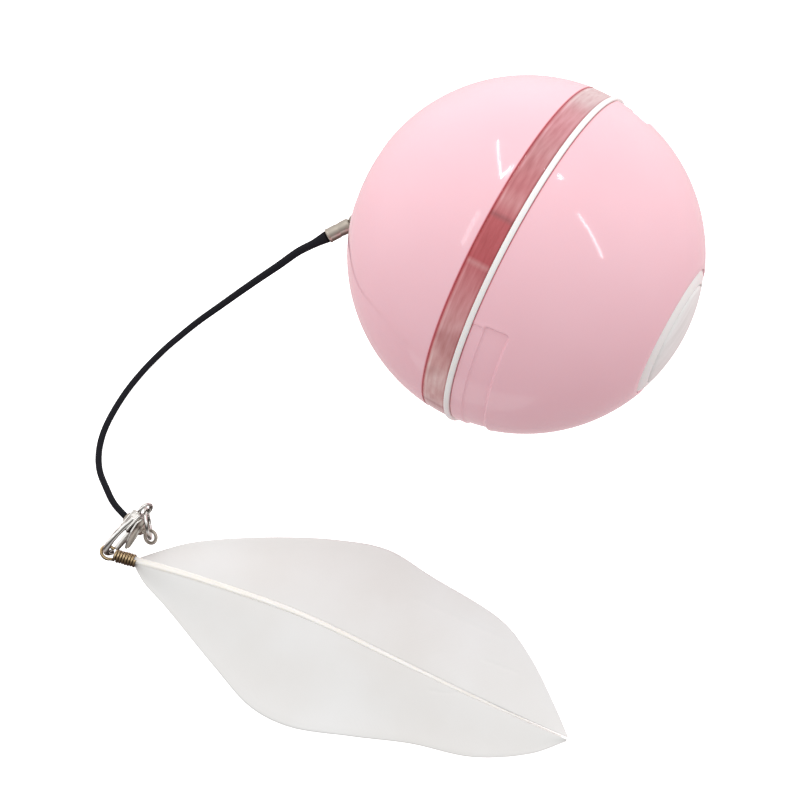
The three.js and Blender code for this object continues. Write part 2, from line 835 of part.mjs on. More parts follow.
// The turn that puts a gear's teeth into the spaces of the gear at the other end of the line.
const insideTurn = (teeth, line, otherTeeth) => line - (otherTeeth * line - Math.PI) / teeth;
const outsideTurn = (teeth, line, otherTeeth) => line + Math.PI + (otherTeeth * line - Math.PI) / teeth;
const driveTurn = insideTurn(driveTeeth, radians(gearBAngle), ringTeeth);
const pinionATurn = outsideTurn(pinionTeeth, radians(gearAAngle), wheelBTeeth);
const pinionMotorTurn = outsideTurn(pinionTeeth, radians(motorAngle), wheelATeeth);
const stageOne = framePlateOffset + screwHeadHeight + seatGap;
const stageTwo = stageOne + gearWidth + gearGap;
const stageTwoEnd = stageTwo + gearWidth;
function ringScrewHoles(from) {
  return Array.from({ length: ringScrewCount }, (_, i) => {
    const at = polar(ringScrewDistance, ringScrewFirst + (wholeTurn * i) / ringScrewCount);
    return placed(rod(screwRadius + runningGap, from, ringEnd + cutOverrun), ...at);
  });
}

function ringGear() {
  const outer = (spigotInner - seatGap) * Math.cos(Math.PI / ballSides);
  const ring = prism(ringShape(outer, 0), ringStart, ringEnd);
  return meshOf('ring_gear', cut(ring, ...ringScrewHoles(bandStart)), acetal);
}

function compoundGear(name, at, wheel, pinion, pinRadius) {
  const bore = rod(pinRadius + runningGap, wheel.from - cutOverrun, pinion.to + cutOverrun);
  const big = prism(wheel.shape, wheel.from, wheel.to);
  const small = prism(pinion.shape, wheel.from, pinion.to);
  return meshOf(name, placed(cut(joined(big, small), bore), ...at), acetal);
}

function gears() {
  const stageOneEnd = stageOne + gearWidth;
  const wheelAShape = gearShape(wheelATeeth, wheelModule, 0, false);
  const wheelA = { shape: wheelAShape, from: stageOne, to: stageOneEnd };
  const pinionA = { shape: gearShape(pinionTeeth, wheelModule, pinionATurn, true), to: stageTwoEnd };
  const wheelBShape = gearShape(wheelBTeeth, wheelModule, 0, false);
  const wheelB = { shape: wheelBShape, from: stageTwo, to: stageTwoEnd };
  const driveB = { shape: gearShape(driveTeeth, ringModule, driveTurn, true), to: ringEnd };
  const pinion = prism(gearShape(pinionTeeth, wheelModule, pinionMotorTurn, true), stageOne, stageOneEnd);
  const bore = rod(motorShaftRadius + runningGap, stageOne - cutOverrun, stageTwo);
  return [
    ringGear(),
    compoundGear('reduction_gear_a', gearA, wheelA, pinionA, pinARadius),
    compoundGear('reduction_gear_b', gearB, wheelB, driveB, pinBRadius),
    meshOf('motor_pinion', placed(cut(pinion, bore), ...motor), brass),
  ];
}

// Chassis

const frameBack = framePlateOffset - frameThickness;
const battery = polar(batteryDistance, batteryAngle);
const batteryEnd = batteryStart + batteryLength;
const weightStart = coverEnd + seatGap;
const weightEnd = weightStart + ballRadius * weightLengthShare;
const weightSeat = weightStart + weightSeatLength;
const weightReach = innerRadius - weightInsetWidth;
const weightBore = cupRadius + weightClearance;
const weightScrewDistance = ballRadius * weightScrewShare;
const weightScrewPlaces = weightScrewAngles.map((angle) => polar(weightScrewDistance, angle));
const posts = postAngles.map((angle) => polar(postDistance, angle));

const plateHoles = (from, to) => [
  rod(axleRadius + runningGap, from, to, roundSides),
  placed(rod(batteryRadius + seatGap, from, to, roundSides), ...battery),
  placed(rod(pinARadius + runningGap, from, to), ...gearA),
  placed(rod(pinBRadius + runningGap, from, to), ...gearB),
];

function chassisFrame() {
  const plate = prism(roundShape(frameRadius, roundSides), frameBack, framePlateOffset);
  const hub = rod(hubTubeRadius, frameBack - hubTubeLength, framePlateOffset + gearWidth, roundSides);
  const pillars = posts.map((at) => placed(rod(postRadius, frameBack, coverStart - seatGap), ...at));
  const shelves = ledAngles.map((angle) => {
    const shelf = new THREE.BoxGeometry(shelfOuter - shelfInner, shelfWidth, shelfEnd - frameBack);
    const middle = (shelfInner + shelfOuter) / 2;
    return shelf.translate(middle, 0, (shelfEnd + frameBack) / 2).rotateZ(radians(angle));
  });
  const cradleOuter = batteryRadius + seatGap + cradleWall;
  const cradleEnd = framePlateOffset + cutOverrun;
  const cradle = common(
    tube(batteryRadius + seatGap, cradleOuter, frameBack - cradleLength, framePlateOffset),
    fan(batteryAngle, cradleHalfArc, batteryDistance, frameBack - 2 * cradleLength, cradleEnd),
  );
  const from = frameBack - hubTubeLength - cutOverrun;
  const to = coverStart + cutOverrun;
  const before = frameBack - cutOverrun;
  const motorHoles = [
    placed(rod(motorBossRadius + seatGap, before, framePlateOffset + cutOverrun), ...motor),
    ...motorScrewPlaces().map((at) => placed(rod(screwRadius + runningGap, before, to), ...at)),
  ];
  const postHoles = posts.map((at) =>
    placed(rod(screwRadius + runningGap, coverEnd - screwLength - seatGap, to), ...at));
  const body = joined(plate, hub, ...pillars, ...shelves, placed(cradle, ...battery));
  return meshOf('chassis_frame',
    cut(body, ...plateHoles(from, to), ...motorHoles, ...postHoles), greyPlastic);
}

function gearCover() {
  const plate = prism(roundShape(coverRadius, roundSides), coverStart, coverEnd);
  const bosses = boardScrewPlaces.map((at) =>
    placed(rod(standoffRadius, coverStart, coverEnd + boardStandoff - seatGap), ...at));
  const from = coverStart - cutOverrun;
  const to = coverEnd + boardStandoff + cutOverrun;
  const holes = [...posts, ...boardScrewPlaces, ...weightScrewPlaces].map((at) =>
    placed(rod(screwRadius + runningGap, from, to), ...at));
  const body = cut(joined(plate, ...bosses), ...plateHoles(from, to), ...holes);
  return meshOf('gear_cover', body, greyPlastic);
}

function screw(name, at, underHead, length) {
  const profile = [
    [0, -length], [screwRadius, -length], [screwRadius, 0],
    [screwHeadRadius, 0], [screwHeadRadius, screwHeadHeight], [0, screwHeadHeight],
  ];
  const shape = turned(profile, screwSides);
  return meshOf(name, placed(shape, ...at, underHead), steel);
}

function motorScrewPlaces() {
  return [motorScrewAngle, motorScrewAngle + 180].map((angle) =>
    polar(motorScrewDistance, angle).map((value, i) => value + motor[i]));
}

// Outline of the motor: a circle with two flats.
function motorShape() {
  const flat = Math.asin(motorFlats / 2 / motorRadius);
  const shape = new THREE.Shape();
  const steps = smallSides;
  [Math.PI / 2, -Math.PI / 2].forEach((middle, side) => {
    for (let i = 0; i <= steps; i += 1) {
      const angle = middle + flat - (2 * flat * i) / steps;
      const x = motorRadius * Math.cos(angle);
      const y = motorRadius * Math.sin(angle);
      if (side === 0 && i === 0) shape.moveTo(x, y);
      else shape.lineTo(x, y);
    }
  });
  return shape;
}

function motorPieces() {
  const front = frameBack - seatGap;
  const back = front - motorLength;
  const can = joined(
    prism(motorShape(), back, front),
    rod(motorBossRadius, front - motorBossHeight, front + motorBossHeight),
  );
  const shaftHole = rod(motorShaftRadius + runningGap, front - 2 * motorBossHeight, framePlateOffset);
  const screwTip = framePlateOffset - smallScrewLength - seatGap;
  const screwHoles = motorScrewPlaces().map(([x, y]) =>
    placed(rod(screwRadius + runningGap, screwTip, framePlateOffset), x - motor[0], y - motor[1]));
  const endCap = joined(
    prism(motorShape(), back - seatGap - motorCapLength, back - seatGap),
    rod(motorBossRadius, back - seatGap - motorCapLength - motorBossHeight, back - seatGap),
  );
  const shaft = rod(motorShaftRadius, front - motorBossHeight, stageOne + gearWidth + seatGap);
  return [
    meshOf('motor_can', placed(cut(can, shaftHole, ...screwHoles), ...motor), steel),
    meshOf('motor_cap', placed(endCap, ...motor), blackPlastic),
    meshOf('motor_shaft', placed(shaft, ...motor), steel),
    ...motorScrewPlaces().map((at, i) =>
      screw(`motor_screw_${i + 1}`, at, framePlateOffset, smallScrewLength)),
  ];
}

function batteryCell() {
  return meshOf('battery', placed(turned([
    [0, batteryStart],
    [batteryRadius, batteryStart],
    [batteryRadius, batteryEnd],
    [batteryCapRadius, batteryEnd],
    [batteryCapRadius, batteryEnd + batteryCapLength],
    [0, batteryEnd + batteryCapLength],
  ]), ...battery), cellWrap);
}

// A sector with a round belly that follows the shell and swings under the catnip cup. It has
// pockets for the end of the battery and for the head of the nearest frame screw.
function counterweight() {
  const before = weightStart - cutOverrun;
  const beyond = weightEnd + cutOverrun;
  const belly = turned([
    [0, weightStart],
    ...sphereArc(weightReach, weightStart, weightEnd, weightSteps),
    [0, weightEnd],
  ], ballSides);
  const sector = common(belly, fan(weightMiddleAngle, weightHalfArc, ballRadius, before, beyond));
  const roomEnd = batteryEnd + batteryCapLength + seatGap;
  const batteryRoom = rod(batteryRadius + 2 * seatGap, before, roomEnd, roundSides);
  const headRoom = rod(screwHeadRadius + seatGap, before, coverEnd + screwHeadHeight + seatGap);
  const holes = weightScrewPlaces.flatMap((at) => [
    placed(rod(screwRadius + runningGap, before, beyond), ...at),
    placed(rod(screwHeadRadius + seatGap, weightSeat, beyond), ...at),
  ]);
  return meshOf('counterweight', cut(
    sector,
    rod(weightBore, before, beyond, roundSides),
    placed(batteryRoom, ...battery),
    placed(headRoom, ...posts[posts.length - 1]),
    ...holes,
  ), steel);
}

// Board, with its parts on the side that shows when the right shell is off


function boardPieces() {
  const half = Math.asin(boardChordHeight / boardRadius);
  const steps = smallSides;
  const outline = new THREE.Shape();
  for (let i = 0; i <= steps; i += 1) {
    const angle = half + ((Math.PI - 2 * half) * i) / steps;
    const x = boardRadius * Math.cos(angle);
    const y = boardRadius * Math.sin(angle);
    if (i === 0) outline.moveTo(x, y);
    else outline.lineTo(x, y);
  }
  const holes = boardScrewPlaces.map((at) =>
    placed(rod(screwRadius + runningGap, boardStart - cutOverrun, boardFace + cutOverrun), ...at));
  const postClear = posts.slice(0, 2).map((at) =>
    placed(rod(screwHeadRadius + seatGap, boardStart - cutOverrun, boardFace + cutOverrun), ...at));
  const seat = boardFace + seamGap;
  const block = (at, size, from = seat) =>
    new THREE.BoxGeometry(...size).translate(at[0], at[1], from + size[2] / 2);
  const portMouth = [portSize[0] - 2 * portWall, portSize[1] - 2 * portWall, portDepth + cutOverrun];
  const portFloor = seat + portSize[2] - portDepth;
  const port = cut(block(portPlace, portSize), block(portPlace, portMouth, portFloor));
  const switchTop = seat + switchSize[2];
  const holeFloor = switchTop - buttonHoleDepth;
  const plunger = rod(buttonRadius + runningGap, holeFloor, switchTop + cutOverrun);
  const buttonStart = holeFloor + buttonTravel + seamGap;
  const button = rod(buttonRadius, buttonStart, buttonStart + buttonLength);
  const boardScrewLength = boardThickness + boardStandoff + coverThickness;
  const board = cut(prism(outline, boardStart, boardFace), ...holes, ...postClear);
  const switchBody = cut(block(switchPlace, switchSize), placed(plunger, ...switchPlace));
  return [
    meshOf('circuit_board', board, boardGreen),
    meshOf('usb_port', port, steel),
    meshOf('power_switch', switchBody, blackPlastic),
    meshOf('power_button', placed(button, ...switchPlace), whiteGloss),
    meshOf('control_chip', block(chipPlace, chipSize), blackPlastic),
    ...boardScrewPlaces.map((at, i) => screw(`board_screw_${i + 1}`, at, boardFace, boardScrewLength)),
  ];
}

function led(name, angle) {
  const foot = shelfOuter + seatGap;
  const dome = foot + ledFlangeHeight + ledBodyLength;
  const shape = turned([
    [0, foot],
    [ledRadius + ledFlangeWidth, foot],
    [ledRadius + ledFlangeWidth, foot + ledFlangeHeight],
    [ledRadius, foot + ledFlangeHeight],
    [ledRadius, dome],
    [ledRadius * Math.cos(Math.PI / 6), dome + ledRadius * Math.sin(Math.PI / 6)],
    [ledRadius * Math.cos(Math.PI / 3), dome + ledRadius * Math.sin(Math.PI / 3)],
    [0, dome + ledRadius],
  ], smallSides);
  const middle = shelfEnd - ledRadius - ledFlangeWidth;
  shape.rotateY(Math.PI / 2).translate(0, 0, middle).rotateZ(radians(angle));
  return meshOf(name, shape, ledClear);
}

// Lobster clasp in its own frame

const claspAlong = vector(claspAim).normalize();
const claspThrough = new THREE.Vector3(0, 0, 1).projectOnPlane(claspAlong).normalize()
  .applyAxisAngle(claspAlong, radians(claspRoll));
const claspFrame = new THREE.Matrix4()
  .makeBasis(claspAlong, claspThrough.clone().cross(claspAlong), claspThrough)
  .setPosition(...claspPlace);

const claspShape = (shares) =>
  new THREE.Shape(shares.map(([x, y]) => new THREE.Vector2(x * claspLength, y * claspLength)));

function claspBody() {
  const hookShape = claspShape([...claspOuterShares, ...claspInnerShares]);
  const hook = prism(hookShape, -claspBarThickness / 2, claspBarThickness / 2);
  const tail = prism(roundShape(claspTailRadius), -claspTailThickness / 2, claspTailThickness / 2);
  const block = new THREE.BoxGeometry(claspBlockLength, 2 * claspTailRadius, claspThickness)
    .translate(claspTailRadius + claspBlockLength / 2, 0, 0);
  const blockEnd = claspTailRadius + claspBlockLength;
  const slotStart = leverPivot[0] - claspSlotBackLength;
  const slotLength = blockEnd + seamGap - slotStart;
  const slotHeight = claspSlotTopHeight + 2 * claspTailRadius;
  const slot = new THREE.BoxGeometry(slotLength, slotHeight, claspSlotWidth)
    .translate(slotStart + slotLength / 2, claspSlotTopHeight - slotHeight / 2, 0);
  const tailHole = rod(claspTailHoleRadius, -claspThickness, claspThickness);
  const pinHole = rod(claspPinRadius + seamGap / 2, -claspThickness, claspThickness);
  return cut(joined(hook, tail, block), slot, tailHole, placed(pinHole, ...leverPivot));
}

function claspLever() {
  const lever = prism(claspShape(leverShares), -leverThickness / 2, leverThickness / 2);
  const pinHole = rod(claspPinRadius + runningGap, -claspThickness, claspThickness);
  return cut(lever, placed(pinHole, ...leverPivot));
}

function claspPieces() {
  const half = claspThickness / 2;
  const pin = placed(rod(claspPinRadius, -half, half), ...leverPivot);
  return [
    meshOf('clasp_body', claspBody().applyMatrix4(claspFrame), nickel),
    meshOf('clasp_lever', claspLever().applyMatrix4(claspFrame), nickel),
    meshOf('clasp_pin', pin.applyMatrix4(claspFrame), nickel),
  ];
}

// The jump ring links the lower crimp's loop with the hole in the clasp's tail.
const lowerLoop = vector(lowerCrimpEnd).addScaledVector(vector(lowerCrimpAim).normalize(), crimpReach);
const jumpAim = vector(claspPlace).sub(lowerLoop).normalize();
const jumpTangent = claspThrough.clone().projectOnPlane(jumpAim).normalize()
  .applyAxisAngle(jumpAim, radians(jumpTwist));

function jumpRing() {
  const radius = vector(claspPlace).distanceTo(lowerLoop) / 2 - jumpSlackGap;
  const middle = vector(claspPlace).add(lowerLoop).multiplyScalar(0.5);
  const ring = aimed(wireRing(radius, jumpWireRadius), jumpAim.clone().cross(jumpTangent), jumpAim);
  return meshOf('clasp_ring', ring.translate(...middle.toArray()), nickel);
}

// Cord

function cord() {
  const start = vector(upperCrimpEnd).addScaledVector(vector(upperCrimpAim).normalize(), -seatGap);
  const end = vector(lowerCrimpEnd).addScaledVector(vector(lowerCrimpAim).normalize(), -seatGap);
  const path = new THREE.CatmullRomCurve3([start, ...cordRoute.map(vector), end]);
  const section = roundShape(cordRadius, cordSides);
  const shape = new THREE.ExtrudeGeometry(section, { extrudePath: path, steps: cordSteps });
  return meshOf('cord', shape, waxedCord);
}

// Brass wire: an eye at one end, then a winding round the quill

const windingAlong = vector(windingAim).normalize();
const windingSide = new THREE.Vector3(0, 0, 1).cross(windingAlong);

// A point from its height, its place to the side and its place along the quill.
const onWinding = (up, side, along) => vector(windingStart)
  .addScaledVector(new THREE.Vector3(0, 0, 1), up)
  .addScaledVector(windingSide, side)
  .addScaledVector(windingAlong, along);

function wirePoints() {
  const points = [];
  const open = Math.asin(windingRadius / wireEyeRadius);
  const middle = -wireEyeReachLength - wireEyeRadius * Math.cos(open);
  for (let i = 0; i <= wireEyeSteps; i += 1) {
    const angle = open + ((turn - 2 * open) * i) / wireEyeSteps;
    const side = wireEyeRadius * Math.sin(angle);
    const along = middle + wireEyeRadius * Math.cos(angle);
    points.push(onWinding(-along * wireEyeSlope, side, along));
  }
  for (let i = 1; i <= windingTurns * windingSteps; i += 1) {
    const angle = (turn * i) / windingSteps;
    const up = windingRadius * Math.sin(angle);
    const side = -windingRadius * Math.cos(angle);
    points.push(onWinding(up, side, wireEyeLeadLength + (windingPitch * i) / windingSteps));
  }
  return points;
}

// The least gap of a wire to itself, between points at least half a turn apart.
function leastGap(points, wire, apart) {
  let least = Infinity;
  for (let i = 0; i < points.length; i += 1) {
    for (let k = i + apart; k < points.length; k += 1) {
      least = Math.min(least, points[i].distanceTo(points[k]) - 2 * wire);
    }
  }
  return least;
}

function featherWire() {
  const points = wirePoints();
  const path = new THREE.CatmullRomCurve3(points);
  const section = roundShape(windingWireRadius, wireSides);
  const shape = new THREE.ExtrudeGeometry(section, { extrudePath: path, steps: points.length - 1 });
  const gap = leastGap(points, windingWireRadius, windingSteps / 2);
  console.log(`feather_wire: ${windingTurns} turns, least gap to itself ${gap.toFixed(2)} mm`);
  return meshOf('feather_wire', shape, brass);
}

// Feather: a tapered quill and a vane on each side of it

const featherAlong = new THREE.Vector3(1, 0, 0);
featherAlong.applyAxisAngle(new THREE.Vector3(0, 0, 1), radians(featherAngle));
const featherSide = new THREE.Vector3(-featherAlong.y, featherAlong.x, 0);
const onFeather = (share, side, height) => new THREE.Vector3(...featherBase, height)
  .addScaledVector(featherAlong, share * featherLength)
  .addScaledVector(featherSide, side);

const shareCurve = (shares) => new THREE.SplineCurve(shares.map(([x, y]) => new THREE.Vector2(x, y)));
const quillLine = shareCurve(quillShares);
const vaneRiseAt = (share) => vaneRiseHeight * Math.sin(Math.PI * share) * (1 - share);
const quillHeightAt = (share) =>
  quillHeight + (quillTipHeight - quillHeight) * share + vaneRiseAt(share);
const quillRadiusAt = (share) =>
  quillRadius + (quillTipRadius - quillRadius) * Math.min(1, share / quillEndShare);

function featherQuill() {
  const back = windingAlong.clone().negate();
  const path = [onFeather(0, 0, quillHeight).addScaledVector(back, quillTailLength)];
  for (let i = 0; i <= quillSteps; i += 1) {
    const point = quillLine.getPointAt((quillEndShare * i) / quillSteps);
    path.push(onFeather(point.x, point.y * featherLength, quillHeightAt(point.x)));
  }
  const shape = new THREE.CylinderGeometry(1, 1, 1, cordSides, path.length - 1);
  const place = shape.getAttribute('position');
  for (let i = 0; i < place.count; i += 1) {
    const step = Math.round((0.5 - place.getY(i)) * (path.length - 1));
    const radius = quillRadiusAt(Math.max(0, step - 1) / quillSteps * quillEndShare);
    const point = path[step].clone()
      .addScaledVector(featherSide, place.getX(i) * radius)
      .add(new THREE.Vector3(0, 0, place.getZ(i) * radius));
    place.setXYZ(i, ...point.toArray());
  }
  return meshOf('feather_quill', shape, quillIvory);
}

function featherVane(name, edgeShares, side) {
  const edge = shareCurve(edgeShares).getSpacedPoints(vaneSteps);
  const quill = quillLine.getSpacedPoints(vaneSteps);
  const shape = new THREE.BoxGeometry(1, 1, 1, vaneSteps, vaneAcross, 1);
  const place = shape.getAttribute('position');
  for (let i = 0; i < place.count; i += 1) {
    const step = Math.round((place.getX(i) + 0.5) * vaneSteps);
    const across = place.getY(i) + 0.5;
    const share = vaneStartShare + (1 - vaneStartShare) * quill[step].x;
    const edgeShare = vaneStartShare + (1 - vaneStartShare) * edge[step].x;
    const root = quill[step].y * featherLength + side * (quillRadiusAt(share) + seatGap);
    const leastRim = quillRadius + 2 * seatGap + (side * root) / featherLength;
    const rim = side * Math.max(edge[step].y * featherLength, leastRim);
    const ridge = quillHeightAt(share);
    const droop = across * across * (3 - 2 * across);
    const height = ridge + (vaneLowHeight - ridge) * droop + place.getZ(i) * vaneThickness;
    const point = onFeather(share + (edgeShare - share) * across, root + (rim - root) * across, height);
    place.setXYZ(i, ...point.toArray());
  }
  return meshOf(name, shape, featherWhite);
}

// Assembly

const part = new THREE.Group();

const ball = new THREE.Group();
ball.position.z = centreHeight;
ball.quaternion.setFromRotationMatrix(new THREE.Matrix4().makeBasis(
  new THREE.Vector3(0, 1, 0),
  new THREE.Vector3(0, 0, 1),
  new THREE.Vector3(1, 0, 0),
));
ball.add(leftShell(), lightWindow(), whiteBand(), rightShell());
ball.add(hubCap(), hubBush(), capRing(), catnipCup(), catnipLid(), rightBush());
ball.add(axle());
ball.add(collar('left_collar', seatGap - (hubBack - seatGap - bushFlangeLength)));
ball.add(collar('right_collar', bossEnd - 2 * seatGap - bushFlangeLength - collarLength));
ball.add(...gears());
for (let i = 0; i < ringScrewCount; i += 1) {
  const at = polar(ringScrewDistance, ringScrewFirst + (wholeTurn * i) / ringScrewCount);
  ball.add(screw(`ring_screw_${i + 1}`, at, ringEnd, ringScrewLength));
}
ball.add(chassisFrame(), gearCover());
ball.add(meshOf('gear_pin_a', placed(rod(pinARadius, frameBack, coverEnd), ...gearA), steel));
ball.add(meshOf('gear_pin_b', placed(rod(pinBRadius, frameBack, coverEnd), ...gearB), steel));
posts.forEach((at, i) => ball.add(screw(`frame_screw_${i + 1}`, at, coverEnd, screwLength)));
ball.add(...motorPieces(), batteryCell(), counterweight());
weightScrewPlaces.forEach((at, i) =>
  ball.add(screw(`weight_screw_${i + 1}`, at, weightSeat, screwLength)));
ball.add(...boardPieces());
ledAngles.forEach((angle, i) => ball.add(led(`led_${i + 1}`, angle)));
part.add(ball);

part.add(hitchEye(), hitchLink());
part.add(crimp('upper_crimp', upperCrimpEnd, upperCrimpAim, eyeAxis));
part.add(cord());
part.add(crimp('lower_crimp', lowerCrimpEnd, lowerCrimpAim, jumpTangent));
part.add(jumpRing(), ...claspPieces());
part.add(featherWire(), featherQuill());
part.add(featherVane('feather_vane_back', upperEdgeShares, 1));
part.add(featherVane('feather_vane_front', lowerEdgeShares, -1));

export default part;
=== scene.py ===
import json
from math import acos, asin, atan2, cos, dist, exp, hypot, pi, radians, sin, sqrt, tan, tau

import bmesh
import bpy
from mathutils import Matrix, Quaternion, Vector

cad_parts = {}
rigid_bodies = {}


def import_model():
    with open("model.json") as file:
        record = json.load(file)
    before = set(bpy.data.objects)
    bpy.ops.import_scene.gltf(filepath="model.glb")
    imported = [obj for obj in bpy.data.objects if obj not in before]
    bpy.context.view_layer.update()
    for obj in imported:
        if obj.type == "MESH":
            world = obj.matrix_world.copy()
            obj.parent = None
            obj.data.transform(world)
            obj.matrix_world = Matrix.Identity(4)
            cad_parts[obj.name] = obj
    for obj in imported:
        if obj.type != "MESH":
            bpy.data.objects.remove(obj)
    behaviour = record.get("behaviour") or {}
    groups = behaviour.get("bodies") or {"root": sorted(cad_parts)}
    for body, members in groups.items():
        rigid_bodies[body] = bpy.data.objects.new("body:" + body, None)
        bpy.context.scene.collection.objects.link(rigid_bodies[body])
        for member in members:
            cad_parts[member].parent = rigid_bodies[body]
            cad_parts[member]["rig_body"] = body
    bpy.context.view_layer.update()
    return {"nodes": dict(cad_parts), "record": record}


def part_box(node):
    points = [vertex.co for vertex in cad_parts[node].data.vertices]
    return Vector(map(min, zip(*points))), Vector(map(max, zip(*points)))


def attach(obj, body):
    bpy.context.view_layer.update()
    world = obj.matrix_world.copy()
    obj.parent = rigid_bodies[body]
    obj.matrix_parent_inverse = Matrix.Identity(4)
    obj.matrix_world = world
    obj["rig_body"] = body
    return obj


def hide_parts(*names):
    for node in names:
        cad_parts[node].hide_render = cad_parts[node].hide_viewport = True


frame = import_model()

nodes = frame["nodes"]
slot_of = {p["node"]: p["material_slot"] for p in frame["record"]["subparts"]}

# Lengths are in millimetres unless they are multiplied by MM, and x runs along the axle.
MM = 0.001
BALL = 39.0
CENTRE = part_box("white_band")[1].z / MM / 2
WALL = 2.0
LEFT_RIM = 3.12
RIGHT_RIM = 3.44
WINDOW_LEFT = -3.1
WINDOW_RIGHT = 2.19
UP = Vector((0, 0, 1))
FINE_MARKS = 0.02 * MM


# Camera

camera = bpy.data.objects.new("camera", bpy.data.cameras.new("camera"))
bpy.context.scene.collection.objects.link(camera)
bpy.context.scene.camera = camera
camera.data.lens = 85
camera.data.sensor_width = 36
camera.data.clip_start = 0.01
camera.location = (0.0772, -0.1817, 0.4044)
camera.rotation_mode = "QUATERNION"
camera.rotation_quaternion = Vector((-0.2078, 0.3459, -0.9150)).to_track_quat("-Z", "Y")


# Colour and nodes

def linear(code):
    """The linear colour of a hexadecimal code."""
    parts = [int(code[i:i + 2], 16) / 255 for i in (0, 2, 4)]
    return (*(c / 12.92 if c <= 0.04045 else ((c + 0.055) / 1.055) ** 2.4 for c in parts), 1.0)


class Nodes:
    """Small helper round the node tree of a new material or world."""

    def __init__(self, owner, shader="BsdfPrincipled", output="OutputMaterial"):
        owner.use_nodes = True
        self.owner = owner
        self.tree = owner.node_tree
        self.tree.nodes.clear()
        self.shader = self.add(shader)
        self.place = self.add("TexCoord")
        self.link(self.shader, 0, self.add(output), "Surface")

    def add(self, kind, operation=None, **values):
        node = self.tree.nodes.new("ShaderNode" + kind)
        if operation:
            node.operation = operation
        self.set(node, **values)
        return node

    def set(self, node=None, **values):
        """Gives a node's inputs their values. An underscore stands for a space in a name."""
        for key, value in values.items():
            (node or self.shader).inputs[key.replace("_", " ")].default_value = value

    def link(self, a, out, b, into):
        self.tree.links.new(a.outputs[out], b.inputs[into])

    def linked(self, source, out, into, kind, operation=None, **values):
        """A new node that already has its first link."""
        node = self.add(kind, operation, **values)
        self.link(source, out, node, into)
        return node

    def mapped(self, scale, turn=(0, 0, 0), source="Object"):
        return self.linked(self.place, source, "Vector", "Mapping", Scale=scale, Rotation=turn)

    def noise(self, scale, detail, rough=0.5, where=None):
        out = "Vector" if where else "Object"
        return self.linked(where or self.place, out, "Vector", "TexNoise",
                           Scale=scale, Detail=detail, Roughness=rough)

    def ramp(self, source, *stops, out="Fac"):
        """Colours that change between stops of a place and a colour."""
        node = self.linked(source, out, "Fac", "ValToRGB")
        while len(node.color_ramp.elements) < len(stops):
            node.color_ramp.elements.new(0.5)
        for element, (at, colour) in zip(node.color_ramp.elements, stops):
            element.position = at
            element.color = linear(colour) if isinstance(colour, str) else colour
        return node

    def rough(self, source, low, high):
        node = self.linked(source, "Fac", "Value", "MapRange", To_Min=low, To_Max=high)
        self.link(node, "Result", self.shader, "Roughness")

    def share(self, source, out, low, high):
        """Where a value lies between low and high, from 0 to 1."""
        return self.linked(source, out, "Value", "MapRange", From_Min=low, From_Max=high)

    def dot(self, out, way):
        """How far a direction points along a way."""
        node = self.linked(self.place, out, 0, "VectorMath", "DOT_PRODUCT")
        node.inputs[1].default_value = way
        return node

    def bump(self, source, strength, distance, after=None, out="Fac"):
        node = self.linked(source, out, "Height", "Bump", Strength=strength, Distance=distance)
        if after:
            self.link(after, "Normal", node, "Normal")
        self.link(node, "Normal", self.shader, "Normal")
        return node

    def colour(self, *layers):
        """The surface's colour is the product of its layers."""
        last = layers[0].outputs["Color"]
        for layer in layers[1:]:
            mixed = self.add("Mix")
            mixed.data_type = "RGBA"
            mixed.blend_type = "MULTIPLY"
            self.set(mixed, Factor=1.0)
            self.tree.links.new(last, mixed.inputs[6])
            self.tree.links.new(layer.outputs["Color"], mixed.inputs[7])
            last = mixed.outputs[2]
        self.tree.links.new(last, self.shader.inputs["Base Color"])


def surface(name):
    return Nodes(bpy.data.materials.new(name))


def painted_rim_light(n, tone):
    """Painted light and shade: a deeper red tone on the last few tenths of a shell beside the middle rings,
    for the red light that shines through them and the shade at the seam.
    """
    parts = n.linked(n.place, "Object", "Vector", "SeparateXYZ")
    off = n.linked(parts, "X", 0, "Math", "SUBTRACT")
    off.inputs[1].default_value = (RIGHT_RIM - LEFT_RIM) / 2 * MM
    reach = n.linked(off, "Value", 0, "Math", "ABSOLUTE")
    rim = (RIGHT_RIM + LEFT_RIM) / 2
    share = n.share(reach, "Value", rim * MM, (rim + 0.34) * MM)
    return n.ramp(share, (0.0, tone), (0.3, tone), (1.0, "ffffff"), out="Result")


def moulded(name, dark, light, rough, peel, coat, grain, strength, subsurface=0.0, rim_light_tone=None):
    """Injection moulded plastic: a slow drift of tone, orange peel and fine grain, with painted light and
    shade at the rims if a rim tone is given.
    """
    n = surface(name)
    layers = [n.ramp(n.noise(28, 2), (0.35, dark), (0.65, light))]
    if rim_light_tone:
        layers.append(painted_rim_light(n, rim_light_tone))
    n.colour(*layers)
    fine = n.noise(grain, 3)
    n.rough(fine, rough - 0.03, rough + 0.04)
    first = n.bump(n.noise(160, 2), strength, peel * MM)
    n.bump(fine, strength, FINE_MARKS, first)
    n.set(IOR=1.49, Coat_Weight=coat, Coat_Roughness=0.06, Subsurface_Weight=subsurface,
          Subsurface_Radius=(0.004, 0.0025, 0.002))
    return n.owner


def steel_material():
    """Steel with fine drawn marks and uneven polish."""
    n = surface("steel")
    n.set(Metallic=1.0)
    marks = n.noise(160, 4, 0.65, n.mapped((1, 12, 12)))
    n.colour(n.ramp(n.noise(260, 3), (0.3, "a9abad"), (0.7, "c2c4c6")))
    n.rough(marks, 0.2, 0.36)
    n.bump(marks, 0.12, FINE_MARKS)
    return n.owner


